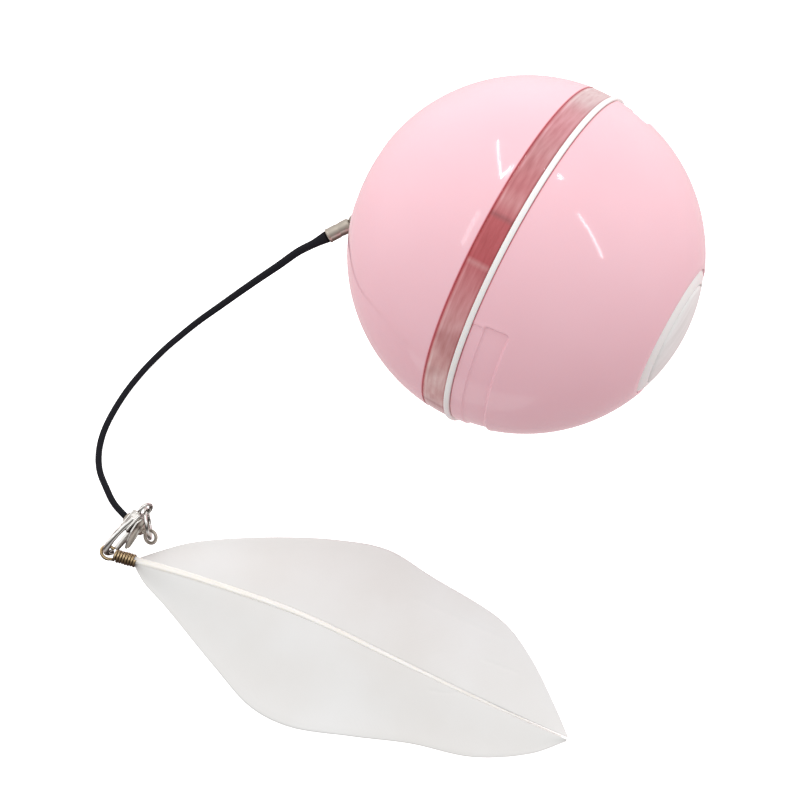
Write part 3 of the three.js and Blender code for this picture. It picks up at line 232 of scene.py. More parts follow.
def plated_painted_reflections(name, stops, way, rough_low, rough_high, cloudy):
    """Bright plate or wire with painted reflections: bands of light and dark in its colour that follow which
    way the surface faces.
    """
    n = surface(name)
    n.set(Metallic=1.0)
    # Painted reflections: the colour band is picked by how far each face points along the given way.
    turn = n.dot("Normal", Vector(way).normalized())
    shifted = n.linked(n.noise(420, 3), "Fac", 0, "Math", "MULTIPLY_ADD")
    shifted.inputs[1].default_value = cloudy
    n.link(turn, "Value", shifted, 2)
    reflection_share = n.share(shifted, "Value", -1 + cloudy / 2, 1 + cloudy / 2)
    n.colour(n.ramp(reflection_share, *stops, out="Result"))
    marks = n.noise(1500, 4, 0.65)
    n.rough(marks, rough_low, rough_high)
    n.bump(marks, 0.12, FINE_MARKS)
    return n.owner


# Tones of the window round the ring, from its front by way of the bottom, the back and the top: the red of
# the plastic, with the light and shade of what shows through it painted in.
WINDOW_SEEN_THROUGH_TONES = [
    (0.0, "fddcd9"), (0.016, "f8d9d6"), (0.02, "cf9798"), (0.024, "cf9798"), (0.027, "e9bcbc"),
    (0.12, "e3b3b5"), (0.3, "d59ba1"), (0.5, "d9a5aa"), (0.6, "e2d2d0"), (0.633, "ead9d9"), (0.655, "e6ced0"),
    (0.68, "e5a8b0"), (0.705, "e39fa8"), (0.735, "e0a5aa"), (0.757, "df989d"), (0.775, "dd8c92"),
    (0.79, "e7a6a9"), (0.803, "dd838a"), (0.8058, "9c5358"), (0.8067, "9c5358"), (0.8085, "d4686f"),
    (0.84, "d2646b"), (0.8464, "d2646b"), (0.847, "ecb4b4"), (0.8475, "ecb4b4"), (0.8481, "dc8288"),
    (0.88, "eca9ad"), (0.92, "f9cecf"), (0.95, "fad4d2"), (0.968, "ffe3e1"), (0.988, "ffe3e0"),
    (1.0, "fddcd9"),
]
# Across the window from left to right: darker pink towards both edges, and a painted highlight line a little
# in from the left edge.
WINDOW_EDGES_AND_HIGHLIGHT = [
    (0.0, "dd8a8f"), (0.045, "dd8a8f"), (0.08, "f6e2e2"), (0.12, "ffffff"), (0.16, "ffffff"),
    (0.19, "f0e2e2"), (0.9, "f3e9e9"), (0.97, "d9b5b5"), (1.0, "c98f92"),
]


def window_material():
    """Clear red tinted plastic whose depth of tone changes round the ring with what is behind it, painted
    into its colour, with a painted highlight line near its left edge.
    """
    n = surface("tinted_clear")
    lifted = n.linked(n.place, "Object", "Vector", "Mapping", Location=(0, 0, -CENTRE * MM))
    parts = n.linked(lifted, "Vector", "Vector", "SeparateXYZ")
    angle = n.linked(parts, "Z", 0, "Math", "ARCTAN2")
    n.link(parts, "Y", angle, 1)
    seen_through = n.ramp(n.share(angle, "Value", -pi, pi), *WINDOW_SEEN_THROUGH_TONES, out="Result")
    across = n.share(parts, "X", WINDOW_LEFT * MM, WINDOW_RIGHT * MM)
    edges_and_highlight = n.ramp(across, *WINDOW_EDGES_AND_HIGHLIGHT, out="Result")
    pair = n.linked(angle, "Value", "X", "CombineXYZ")
    n.link(parts, "X", pair, "Y")
    stretch = n.linked(pair, "Vector", 0, "VectorMath", "MULTIPLY")
    stretch.inputs[1].default_value = (7, 1100, 0)
    streaks = n.ramp(n.noise(1.0, 3, 0.5, stretch), (0.3, "ead2d3"), (0.5, "f6eaea"), (0.7, "ffffff"))
    smudges = n.ramp(n.noise(130, 1), (0.25, "e6d2d2"), (0.45, "ffffff"))
    n.colour(seen_through, edges_and_highlight, streaks, smudges)
    n.rough(n.noise(700, 2), 0.08, 0.16)
    n.bump(n.noise(150, 3), 0.06, 0.2 * MM)
    n.set(Transmission_Weight=0.12, Coat_Weight=0.3, Coat_Roughness=0.05, IOR=1.49)
    return n.owner


def lid_material():
    """White lid with fine streaks all one way."""
    n = surface("lid_white")
    streaks = n.noise(900, 3, 0.6, n.mapped((1, 0.05, 0.6), (radians(20), 0, 0)))
    n.colour(n.ramp(streaks, (0.3, "e9e8e6"), (0.7, "f7f6f5")))
    n.rough(streaks, 0.3, 0.42)
    n.bump(streaks, 0.12, 0.04 * MM)
    n.set(Coat_Weight=0.2, Coat_Roughness=0.1)
    return n.owner


def cord_material():
    """Waxed cord of twisted and braided yarns, laid round the tube by its own map."""
    n = surface("waxed_cord")
    both = n.add("Math", "MAXIMUM")
    for i, slant in enumerate((1, -1)):
        where = n.mapped((1, 2 * slant, 1), source="UV")
        wave = n.linked(where, "Vector", "Vector", "TexWave", Scale=3.2, Distortion=0.4, Detail_Scale=3)
        wave.wave_type = "BANDS"
        wave.bands_direction = "DIAGONAL"
        n.link(wave, "Fac", both, i)
    fuzz = n.noise(2600, 4, 0.7)
    n.colour(n.ramp(both, (0.25, "1a1a1d"), (0.85, "2a2a2f"), out="Value"))
    n.rough(fuzz, 0.32, 0.55)
    first = n.bump(both, 0.55, 0.09 * MM, out="Value")
    n.bump(fuzz, 0.3, 0.03 * MM, first)
    n.set(IOR=1.03, Sheen_Weight=0.02)
    return n.owner


def feather_material():
    """Barbs: soft white with a faint warm drift, finely lined along each barb."""
    n = surface("feather_white")
    lines = n.noise(60, 4, 0.6, n.mapped((1.0, 0.03, 1.0), source="UV"))
    n.colour(n.ramp(n.noise(38, 3), (0.3, "e1dfdc"), (0.7, "e7e7e6")))
    n.rough(lines, 0.7, 0.95)
    n.bump(lines, 0.25, 0.08 * MM)
    n.set(Sheen_Weight=0.1, Sheen_Roughness=0.4, Specular_IOR_Level=0.25)
    return n.owner


def quill_material():
    """Ivory quill with grain along it."""
    n = surface("quill_ivory")
    grain = n.noise(700, 3, 0.6, n.mapped((0.06, 1.0, 1.0), (0, 0, radians(-8.2))))
    n.colour(n.ramp(grain, (0.3, "f3eee6"), (0.7, "fbf9f4")))
    n.rough(grain, 0.3, 0.45)
    n.bump(grain, 0.2, 0.04 * MM)
    n.set(Subsurface_Weight=0.25, Subsurface_Radius=(0.001, 0.0009, 0.0007), Subsurface_Scale=1.0)
    return n.owner


def board_material():
    """Solder mask over copper tracks."""
    n = surface("board_green")
    where = n.mapped((1, 1, 1), (0, radians(90), 0))
    tracks = n.linked(where, "Vector", "Vector", "TexBrick", Scale=420, Mortar_Size=0.035,
                      Color1=linear("1a6340"), Color2=linear("175a39"), Mortar=linear("2f8258"))
    n.colour(tracks)
    n.rough(n.noise(1500, 2), 0.32, 0.45)
    n.bump(tracks, 0.3, 0.03 * MM)
    return n.owner


def led_material():
    """Clear epoxy."""
    n = surface("led_clear")
    cloud = n.noise(500, 2)
    n.colour(n.ramp(cloud, (0.3, "f6dfe1"), (0.7, "fdf0f0")))
    n.rough(cloud, 0.05, 0.12)
    n.bump(cloud, 0.05, FINE_MARKS)
    n.set(Transmission_Weight=0.75, IOR=1.5)
    return n.owner


def bronze_material():
    """Sintered bronze with open grain."""
    n = surface("bronze")
    n.set(Metallic=1.0)
    grain = n.noise(1800, 4, 0.7)
    n.colour(n.ramp(grain, (0.35, "a27a4c"), (0.65, "c09a68")))
    n.rough(grain, 0.38, 0.6)
    n.bump(grain, 0.4, 0.03 * MM)
    return n.owner


# Painted reflections of the plated metals and the brass: stops of light and dark by how far a face points
# along its way, with the ways below.
NICKEL_PAINTED_REFLECTIONS = [
    (0.0, "6b6661"), (0.2, "a8a29a"), (0.36, "45413e"), (0.44, "c0bbb4"), (0.52, "f0eeeb"), (0.6, "8d8882"),
    (0.67, "383635"), (0.74, "b9b5b0"), (0.82, "f6f5f3"), (0.9, "dedbd6"), (0.95, "8b8681"), (1.0, "d0cdc8"),
]
SATIN_PAINTED_REFLECTIONS = [
    (0.0, "5d5048"), (0.25, "75695f"), (0.38, "8f8379"), (0.46, "cfc6bb"), (0.52, "d8d0c6"), (0.58, "a0968c"),
    (0.7, "a39a90"), (0.85, "b0a79c"), (1.0, "979086"),
]
BLADE_PAINTED_REFLECTIONS = [
    (0.0, "55504c"), (0.2, "8f8982"), (0.28, "4b4744"), (0.33, "a9a399"), (0.37, "c4c0b6"), (0.42, "b8b2a9"),
    (0.47, "857f77"), (0.53, "dad7d3"), (0.6, "6d6863"), (0.74, "a5a09a"), (0.84, "e2e0dd"), (1.0, "b4b1ac"),
]
BRASS_PAINTED_REFLECTIONS = [
    (0.0, "241d18"), (0.45, "433628"), (0.7, "62503c"), (0.85, "7f6b50"), (0.94, "d7be96"), (1.0, "988261"),
]
NICKEL_REFLECTION_WAY = (-0.35, 0.45, 0.82)
BRASS_REFLECTION_WAY = (0.1, 0.25, 0.96)

material = {
    # The pink's last tone is painted red light and shade at its rims beside the middle rings.
    "pink_gloss": moulded("pink_gloss", "f9c5cf", "fccad4", 0.08, 0.1, 0.0, 900, 0.04, 0.1, "dc8f95"),
    "tinted_clear": window_material(),
    "white_gloss": moulded("white_gloss", "f4f2f0", "faf9f8", 0.2, 0.2, 0.0, 900, 0.04, 0.1),
    "grey_plastic": moulded("grey_plastic", "bfc2c4", "cbcdcf", 0.45, 0.2, 0.0, 1400, 0.25),
    "steel": steel_material(),
    "nickel": plated_painted_reflections("nickel", NICKEL_PAINTED_REFLECTIONS, NICKEL_REFLECTION_WAY, 0.1, 0.24, 0.35),
    "brass": plated_painted_reflections("brass", BRASS_PAINTED_REFLECTIONS, BRASS_REFLECTION_WAY, 0.24, 0.42, 0.35),
    "bronze": bronze_material(),
    "acetal": moulded("acetal", "ebe8de", "f4f2ea", 0.4, 0.2, 0.0, 1200, 0.15, 0.1),
    "cell_wrap": moulded("cell_wrap", "38689f", "4272ad", 0.3, 0.3, 0.3, 600, 0.1),
    "board_green": board_material(),
    "black_plastic": moulded("black_plastic", "202125", "2b2c31", 0.42, 0.2, 0.0, 1600, 0.3),
    "led_clear": led_material(),
    "waxed_cord": cord_material(),
    "quill_ivory": quill_material(),
    "feather_white": feather_material(),
}
lid_white = lid_material()
satin_painted_reflections = plated_painted_reflections("satin_nickel_painted_reflections", SATIN_PAINTED_REFLECTIONS, NICKEL_REFLECTION_WAY, 0.34, 0.46, 0.2)
silver_blade_painted_reflections = plated_painted_reflections("silver_blade_painted_reflections", BLADE_PAINTED_REFLECTIONS, NICKEL_REFLECTION_WAY, 0.2, 0.32, 0.2)


# Mesh helpers

def new_object(name, bm):
    bmesh.ops.recalc_face_normals(bm, faces=bm.faces)
    for face in bm.faces:
        face.smooth = True
    mesh = bpy.data.meshes.new(name)
    bm.to_mesh(mesh)
    bm.free()
    obj = bpy.data.objects.new(name, mesh)
    bpy.context.scene.collection.objects.link(obj)
    return obj


def piece(name, bm, node, finish=None):
    """Makes a piece, gives it its material and its body, and hides the node that it stands for."""
    obj = new_object(name, bm)
    obj.data.materials.append(finish or material[slot_of[node]])
    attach(obj, nodes[node]["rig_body"])
    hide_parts(node)
    return obj


def rounded(points, radii, steps):
    """A closed outline with its corners rounded by arcs."""
    out = []
    for i, (point, r) in enumerate(zip(points, radii)):
        p = Vector(point)
        a = Vector(points[i - 1]) - p
        b = Vector(points[(i + 1) % len(points)]) - p
        la, lb = a.length, b.length
        a.normalize()
        b.normalize()
        half = a.angle(b) / 2
        if half > radians(86):
            out.append(tuple(point))
            continue
        back = min(r / tan(half), 0.45 * la, 0.45 * lb)
        r = back * tan(half)
        mid = p + (a + b).normalized() * (r / sin(half))
        start = p + a * back - mid
        end = p + b * back - mid
        sweep = start.angle_signed(end)
        for k in range(steps + 1):
            t = -sweep * k / steps
            c, s = cos(t), sin(t)
            out.append((mid.x + start.x * c - start.y * s, mid.y + start.x * s + start.y * c))
    return out


def angles_round(sides):
    """Angles evenly round a circle."""
    return [tau * k / sides for k in range(sides)]


def grid_ring(bm, rings, closed_rows):
    """Joins rings of points into a skin. Each ring is closed; the rows close too if asked."""
    made = [[bm.verts.new(Vector(p) * MM) for p in ring] for ring in rings]
    rows = len(made) if closed_rows else len(made) - 1
    for i in range(rows):
        a, b = made[i], made[(i + 1) % len(made)]
        for k in range(len(a)):
            m = (k + 1) % len(a)
            bm.faces.new((a[k], a[m], b[m], b[k]))
    return made


def capped(bm, rings):
    """A skin along rings with a flat face on either end."""
    made = grid_ring(bm, rings, False)
    bm.faces.new(list(reversed(made[0])))
    bm.faces.new(made[-1])


def pointed(bm, rings, start, end):
    """A skin along rings that runs to a point at either end."""
    made = grid_ring(bm, rings, False)
    for ring, point in ((made[0], start), (made[-1], end)):
        tip = bm.verts.new(Vector(point) * MM)
        for a, b in zip(ring, ring[1:] + ring[:1]):
            bm.faces.new((a, b, tip))


def off_axle(radius, along, angle):
    return along, radius * cos(angle), CENTRE + radius * sin(angle)


def turned(bm, profile, angles, depth=None):
    """Turns a closed profile of radius and place round the axle. Marked points sink in by a depth."""
    rings = []
    for radius, along, *mark in profile:
        rings.append([off_axle(radius - (depth(along, angle) if depth and mark else 0), along, angle)
                      for angle in angles])
    grid_ring(bm, rings, True)


def solid_turned(bm, profile, sides):
    """Turns an open profile that starts and ends on the axle."""
    rings = [[off_axle(radius, along, angle) for angle in angles_round(sides)]
             for radius, along in profile[1:-1]]
    pointed(bm, rings, off_axle(*profile[0], 0), off_axle(*profile[-1], 0))


def arc_block(bm, inner, outer, start, end, middle, half):
    """A short curved block with softened corners, such as a bayonet lug."""
    steps = 14
    section = rounded([(inner, start), (outer, start), (outer, end), (inner, end)], [0.15] * 4, 3)
    cx = (inner + outer) / 2
    cy = (start + end) / 2
    rings = []
    for k in range(steps + 1):
        angle = radians(middle - half + 2 * half * k / steps)
        squeeze = 0.94 if k in (0, steps) else 1.0
        rings.append([off_axle(cx + (r - cx) * squeeze, cy + (a - cy) * squeeze, angle) for r, a in section])
    capped(bm, rings)


def at_sphere(radius, reach):
    return sqrt(radius * radius - reach * reach)


def sphere_line(radius, start, end, steps):
    """Profile points on a sphere between two places along the axle."""
    a0, a1 = acos(start / radius), acos(end / radius)
    angles = [a0 + (a1 - a0) * i / steps for i in range(steps + 1)]
    return [(radius * sin(a), radius * cos(a)) for a in angles]


def frames_along(points, closed):
    """Directions and sideways vectors that twist as little as they can along a path."""
    count = len(points)
    along = []
    for i in range(count):
        if closed:
            d = points[(i + 1) % count] - points[i - 1]
        else:
            d = points[min(i + 1, count - 1)] - points[max(i - 1, 0)]
        along.append(d.normalized())
    side = along[0].orthogonal().normalized()
    sides = [side]
    for i in range(1, count):
        side = along[i - 1].rotation_difference(along[i]) @ side
        side = (side - along[i] * side.dot(along[i])).normalized()
        sides.append(side)
    if closed:
        last = along[-1].rotation_difference(along[0]) @ sides[-1]
        error = atan2(last.cross(sides[0]).dot(along[0]), last.dot(sides[0]))
        sides = [Quaternion(along[i], error * i / count) @ s for i, s in enumerate(sides)]
    return along, sides


def tube(bm, points, radius, sides, closed=False, section=None, first_side=None):
    """A round or shaped wire along points, mapped by length and angle, with a low dome on each open end."""
    points = [Vector(p) for p in points]
    radius_at = radius if callable(radius) else lambda share: radius
    section = section or (lambda a: (cos(a), sin(a)))
    along, side = frames_along(points, closed)
    if first_side is not None:
        start = Vector(first_side)
        start = (start - along[0] * start.dot(along[0])).normalized()
        offset = atan2(side[0].cross(start).dot(along[0]), side[0].dot(start))
        side = [Quaternion(a, offset) @ s for a, s in zip(along, side)]
    uv = bm.loops.layers.uv.verify()
    rings, lengths, run = [], [], 0.0
    for i, point in enumerate(points):
        if i:
            run += (points[i] - points[i - 1]).length
        lengths.append(run)
        r = radius_at(i / (len(points) - 1))
        up = along[i].cross(side[i])
        rings.append([bm.verts.new((point + side[i] * x * r + up * y * r) * MM)
                      for x, y in map(section, angles_round(sides))])
    lengths.append(run)
    for i in range(len(rings) if closed else len(rings) - 1):
        a, b = rings[i], rings[(i + 1) % len(rings)]
        for k in range(sides):
            m = (k + 1) % sides
            face = bm.faces.new((a[k], a[m], b[m], b[k]))
            for loop, (row, v) in zip(face.loops, ((i, k), (i, k + 1), (i + 1, k + 1), (i + 1, k))):
                loop[uv].uv = (lengths[row] / radius_at(0.5), v / sides)
    if closed:
        return
    for end, way in ((0, -1), (-1, 1)):
        last = rings[end]
        dome = [v.co.copy() for v in last]
        centre = points[end] * MM
        r = radius_at(0.0 if way < 0 else 1.0)
        for share, out in ((0.85, 0.35), (0.5, 0.6)):
            nxt = [bm.verts.new(centre + (c - centre) * share + along[end] * way * out * r * 0.5 * MM)
                   for c in dome]
            for k in range(sides):
                m = (k + 1) % sides
                bm.faces.new((last[k], last[m], nxt[m], nxt[k]))
            last = nxt
        bm.faces.new(last)


def basis(z, x):
    """Columns x, y, z of a frame whose z is kept and whose x is near the one given."""
    z = Vector(z).normalized()
    y = z.cross(Vector(x)).normalized()
    return Matrix((y.cross(z), y, z)).transposed()


def circle(radius, steps, turn, middle, start=0.0, sweep=tau):
    """Points round a circle or along an arc in the plane of a frame's x and y."""
    count = steps if sweep == tau else steps + 1
    angles = [start + sweep * i / steps for i in range(count)]
    return [Vector(middle) + turn @ Vector((radius * cos(a), radius * sin(a), 0)) for a in angles]


def smooth_path(points, per):
    """Centripetal spline through the points, as the solid of the cord follows."""
    pts = [Vector(p) for p in points]
    pts = [pts[0] * 2 - pts[1], *pts, pts[-1] * 2 - pts[-2]]
    out = []
    for i in range(1, len(pts) - 2):
        near = pts[i - 1:i + 3]
        knots = [0.0]
        for a, b in zip(near, near[1:]):
            knots.append(knots[-1] + (b - a).length ** 0.5)

        def blend(a, b, first, last, t):
            start, end = knots[first], knots[last]
            return a * ((end - t) / (end - start)) + b * ((t - start) / (end - start))

        for k in range(per):
            t = knots[1] + (knots[2] - knots[1]) * k / per
            a1, a2, a3 = (blend(near[j], near[j + 1], j, j + 1, t) for j in range(3))
            out.append(blend(blend(a1, a2, 0, 2, t), blend(a2, a3, 1, 3, t), 1, 2, t))
    out.append(pts[-2])
    return out


# Cord

UPPER_END = Vector((-44.1, -11.7, 25.0))
UPPER_AIM = Vector((0.57, 0.76, 0.3)).normalized()
LOWER_END = Vector((-52.4, -86.3, 1.5))
LOWER_AIM = Vector((0.988, -0.152, 0.03)).normalized()
ROUTE = [
    (-46.3, -14.3, 23.5), (-49.3, -16.6, 20.4), (-52.6, -19.8, 16.0), (-56.1, -23.2, 11.6),
    (-59.4, -26.8, 7.6), (-62.6, -31.4, 4.4), (-65.6, -36.8, 2.2), (-67.4, -41.4, 1.2),
    (-68.9, -46.7, 0.85), (-70.1, -54.3, 0.85), (-70.4, -62.1, 0.85), (-69.3, -70.9, 0.85),
    (-67.2, -76.2, 0.9), (-64.4, -79.9, 1.0), (-60.6, -82.7, 1.2), (-56.8, -85.0, 1.5),
]
CORD_R = 0.75
cord_path = smooth_path([UPPER_END - UPPER_AIM * 0.3, *ROUTE, LOWER_END - LOWER_AIM * 0.3], 12)
cord_length = sum((b - a).length for a, b in zip(cord_path, cord_path[1:]))


def cord_radius(share):
    """The cord swells where it is bound into the upper end cap."""
    run = share * cord_length
    return CORD_R + 0.24 * max(0.0, 1 - run / 50) + 0.42 * max(0.0, 1 - run / 7) ** 1.4


bm = bmesh.new()
tube(bm, cord_path, cord_radius, 20)
cord = piece("waxed_cord", bm, "cord")


# Shells

def soft_box(x, y, middle, half_x, half_y, corner):
    """Signed distance to a rectangle with round corners."""
    qx = abs(x - middle) - half_x + corner
    qy = abs(y) - half_y + corner
    outside = hypot(max(qx, 0.0), max(qy, 0.0))
    return outside + min(max(qx, qy), 0.0) - corner


def ease(t):
    t = min(1.0, max(0.0, t))
    return t * t * (3 - 2 * t)


LUG_ANGLES = (45, 135, 225, 315)
GRIP_R = 38.2
GRIP_REACH = 0.75


def grip_depth(along, angle):
    """How deep the two grip recesses, each a step and a deeper pocket, are at a place on the right shell."""
    sunk = 0.0
    for middle in (0.0, pi):
        turn = (angle - middle + pi) % tau - pi
        if abs(turn) > GRIP_REACH:
            continue
        step = soft_box(along, turn * GRIP_R, 2.1, 4.0, radians(37.7) * GRIP_R, 0.9)
        deep = soft_box(along, turn * GRIP_R, 8.6, 2.5, radians(38.5) * GRIP_R, 0.7)
        lip = 0.05 * exp(-((min(step, deep) - 0.55) / 0.3) ** 2)
        sunk = max(0.25 * ease(0.5 - step / 0.4), 0.55 * ease(0.5 - deep / 0.6)) - lip
    return sunk


def spaced(stops):
    """Numbers between stops of (value, spacing from there on)."""
    out = []
    for (a, gap), (b, _) in zip(stops, stops[1:]):
        steps = max(1, round((b - a) / gap))
        out += [a + (b - a) * i / steps for i in range(steps)]
    out.append(stops[-1][0])
    return out


CAP_R = 14.9
CAP_HOLE = 15.02
CAP_SEAT = at_sphere(BALL, CAP_HOLE) - 1.3
CAP_BORE = CAP_HOLE - 2.1
CAP_BACK = CAP_SEAT - 2.0


def shell_profile(rim, places, soft):
    """Closed profile of a shell from its rim to the hole at its pole, marked where it is outside."""
    hole = at_sphere(BALL, CAP_HOLE)
    outer = [(at_sphere(BALL, a), a) for a in places if rim + 0.3 < a < hole - 0.35]
    quarter = [pi / 2 * k / 5 for k in range(6)]
    rim_outer = [(at_sphere(BALL, rim) - soft + soft * sin(t), rim + soft - soft * cos(t))
                 for t in quarter]
    pole = [(CAP_HOLE + 0.25 - 0.25 * sin(t), hole - 0.36 + 0.24 * cos(t)) for t in quarter]
    back = CAP_SEAT - 1.4
    inner_a = [back + (rim + 0.1 - back) * i / 26 for i in range(27)]
    return [*((r, a, "out") for r, a in rim_outer + outer + pole),
            (CAP_HOLE, CAP_SEAT), (CAP_BORE, CAP_SEAT), (CAP_BORE, back),
            *((at_sphere(BALL - WALL, a), a) for a in inner_a),
            (at_sphere(BALL - WALL, rim) + 0.1, rim)]


def build_right_shell():
    places = spaced([(3.5, 0.06), (4.0, 0.3), (5.6, 0.05), (6.7, 0.3), (10.6, 0.05), (11.6, 0.3), (13, 0.6),
                     (33, 0.3), (35.7, 0.3)])
    degrees = spaced([(-40.2, 0.3), (-39.4, 0.08), (-36.4, 0.5), (-30, 1.0), (30, 0.5), (36.4, 0.08),
                      (39.4, 0.3), (40.2, 1.0), (139.8, 0.3), (140.6, 0.08), (143.6, 0.5), (150, 1.0),
                      (210, 0.5), (216.4, 0.08), (219.4, 0.3), (220.2, 1.0), (319.8, 1.0)])[:-1]
    bm = bmesh.new()
    turned(bm, shell_profile(RIGHT_RIM, places, 0.26), [radians(d) for d in degrees], grip_depth)
    for middle in LUG_ANGLES:
        arc_block(bm, 35.3, 37.4, 4.7, 6.08, middle, 8)
    piece("pink_right_shell", bm, "right_shell")


def build_left_shell():
    bm = bmesh.new()
    places = spaced([(3.1, 0.3), (6, 0.7), (33, 0.3), (35.7, 0.3)])
    profile = [(r, -a, *mark) for r, a, *mark in shell_profile(LEFT_RIM, places, 0.1)]
    turned(bm, profile, angles_round(240))
    piece("pink_left_shell", bm, "left_shell")


def build_window():
    outer = BALL - 0.1
    left, right = WINDOW_LEFT, WINDOW_RIGHT
    loop = [(37.1, left), (at_sphere(outer, left) - 0.04, left)]
    loop += sphere_line(outer, left + 0.04, right - 0.1, 16)
    loop += [(at_sphere(outer, right) - 0.1, right), (37.1, right), (37.0, right - 0.1), (37.0, left + 0.1)]
    bm = bmesh.new()
    turned(bm, loop, angles_round(360))
    piece("light_ring_window", bm, "light_window")


def build_band():
    loop = [(38.95, 2.2), (39.1, 2.22), (39.2, 2.32), (39.25, 2.5), (39.26, 2.82), (39.25, 3.1), (39.2, 3.28),
            (39.1, 3.39), (38.95, 3.42), (37.5, 3.42), (37.4, 3.36), (35.1, 3.4), (35.0, 3.5), (35.0, 7.8),
            (34.9, 8.0), (33.6, 8.0), (33.5, 7.9), (33.5, 3.4), (29.6, 3.4), (29.5, 3.3), (29.5, 2.3),
            (29.6, 2.2)]
    bm = bmesh.new()
    turned(bm, loop, angles_round(360))
    for middle in LUG_ANGLES:
        arc_block(bm, 34.3, 35.9, 6.48, 7.88, middle, 7)
    piece("white_centre_band", bm, "white_band")


# Pole pieces

CAP_SURFACE = BALL - 0.2
GROOVE_R = 11.9


def cap_line(outer, inner, steps):
    return sphere_line(CAP_SURFACE, at_sphere(CAP_SURFACE, outer), at_sphere(CAP_SURFACE, inner), steps)


def cap_edge():
    """The rolled outer edge of a pole piece, from its wall on to its face."""
    rim = at_sphere(CAP_SURFACE, CAP_R)
    start = Vector((CAP_R, rim - 0.8))
    corner = Vector((CAP_R, rim))
    end = Vector((CAP_R - 1.9, at_sphere(CAP_SURFACE, CAP_R - 1.9)))
    shares = [i / 12 for i in range(13)]
    wall = (CAP_R - 0.12, CAP_SEAT + 0.12)
    return [wall, *(tuple(start * (1 - t) ** 2 + corner * 2 * t * (1 - t) + end * t * t) for t in shares)]


def build_cap_ring():
    lip = at_sphere(CAP_SURFACE, GROOVE_R)
    seat = lip - 1.35
    loop = cap_edge() + cap_line(CAP_R - 2.0, GROOVE_R + 0.3, 8)
    loop += [(GROOVE_R + 0.14, lip - 0.06), (GROOVE_R + 0.02, lip - 0.22), (GROOVE_R, lip - 0.4),
             (GROOVE_R, seat), (11.0, seat), (11.0, CAP_BACK), (CAP_BORE - 0.12, CAP_BACK),
             (CAP_BORE - 0.12, CAP_SEAT + 0.12)]
    bm = bmesh.new()
    turned(bm, loop, angles_round(240))
    piece("white_cap_ring", bm, "cap_ring")


def build_lid():
    rim = GROOVE_R - 0.3
    top = at_sphere(CAP_SURFACE, rim)
    seat = at_sphere(CAP_SURFACE, GROOVE_R) - 1.35 + 0.3
    under = seat - 2.4
    floor = CAP_SURFACE - 2.4
    line = [(0, floor), (9.3, floor), (9.5, floor - 0.2), (9.5, under + 0.15), (9.65, under), (10.55, under),
            (10.7, under + 0.15), (10.7, seat), (rim - 0.15, seat), (rim, seat + 0.15), (rim, top - 0.42),
            (rim - 0.08, top - 0.2), (rim - 0.26, top - 0.03)]
    line += cap_line(rim - 0.5, 0.3, 26)
    line += [(0, CAP_SURFACE)]
    bm = bmesh.new()
    solid_turned(bm, line, 200)
    piece("white_catnip_lid", bm, "catnip_lid", lid_white)


def build_hub_cap():
    lip = at_sphere(CAP_SURFACE, GROOVE_R)
    inner = GROOVE_R - 0.4
    lip_in = at_sphere(CAP_SURFACE, inner)
    floor = lip - 0.6
    dish = at_sphere(CAP_SURFACE, 9.0)
    deep = dish - 4.4
    loop = cap_edge() + cap_line(CAP_R - 2.0, GROOVE_R + 0.25, 8)
    loop += [(GROOVE_R + 0.06, lip - 0.06), (GROOVE_R, lip - 0.2), (GROOVE_R, floor), (inner, floor),
             (inner, lip_in - 0.2), (inner - 0.06, lip_in - 0.05)]
    loop += cap_line(inner - 0.25, 9.4, 8)
    loop += [(9.1, dish - 0.08), (8.95, dish - 0.3), (8.45, deep + 0.35), (8.3, deep + 0.1), (8.05, deep),
             (3.7, deep), (3.6, deep - 0.1), (3.6, deep - 4.5), (5.6, deep - 4.5), (5.6, deep - 1.4),
             (CAP_BORE - 1.52, CAP_BACK), (CAP_BORE - 0.12, CAP_BACK), (CAP_BORE - 0.12, CAP_SEAT + 0.12)]
    bm = bmesh.new()
    turned(bm, [(r, -a) for r, a in loop], angles_round(240))
    piece("white_hub_cap", bm, "hub_cap")


build_right_shell()
build_left_shell()
build_window()
build_band()
build_cap_ring()
build_lid()
build_hub_cap()


# Hitch and end caps

EYE_R = 1.9
EYE_WIRE_R = 0.55
EYE = Vector((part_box("hitch_eye")[0].x / MM + EYE_R + EYE_WIRE_R, 0.0, CENTRE))
CRIMP_LOOP_R = 1.45
NECK_TOP = 5.9
REACH = 5.2 + 0.7 + CRIMP_LOOP_R
UPPER_LOOP = UPPER_END + UPPER_AIM * REACH
LINK_AIM = (UPPER_LOOP - EYE).normalized()
EYE_AXIS = Vector((1, 0, 0)).cross(LINK_AIM).normalized()


def build_hitch():
    bm = bmesh.new()
    tube(bm, circle(EYE_R, 72, basis(EYE_AXIS, (1, 0, 0)), EYE), EYE_WIRE_R, 24, closed=True)
    stem = [(0, 1.45), (0.7, 1.45), (0.9, 1.62), (0.9, 2.5), (1.0, 2.62), (1.0, 2.84), (0.85, 3.0), (0, 3.0)]
    solid_turned(bm, [(r, EYE.x + a) for r, a in stem], 48)
    piece("axle_hitch_eye", bm, "hitch_eye")

    bm = bmesh.new()
    half = (UPPER_LOOP - EYE).length / 2 + 0.1
    turn = basis(LINK_AIM.cross(EYE_AXIS), LINK_AIM)
    middle = (EYE + UPPER_LOOP) / 2
    points = []
    for i in range(95):
        a = radians(94 + 353 * i / 94)
        points.append(middle + turn @ Vector((half * cos(a), 2.8 * sin(a), 0)))
    tube(bm, points, 0.45, 20)
    piece("hitch_oval_link", bm, "hitch_link")


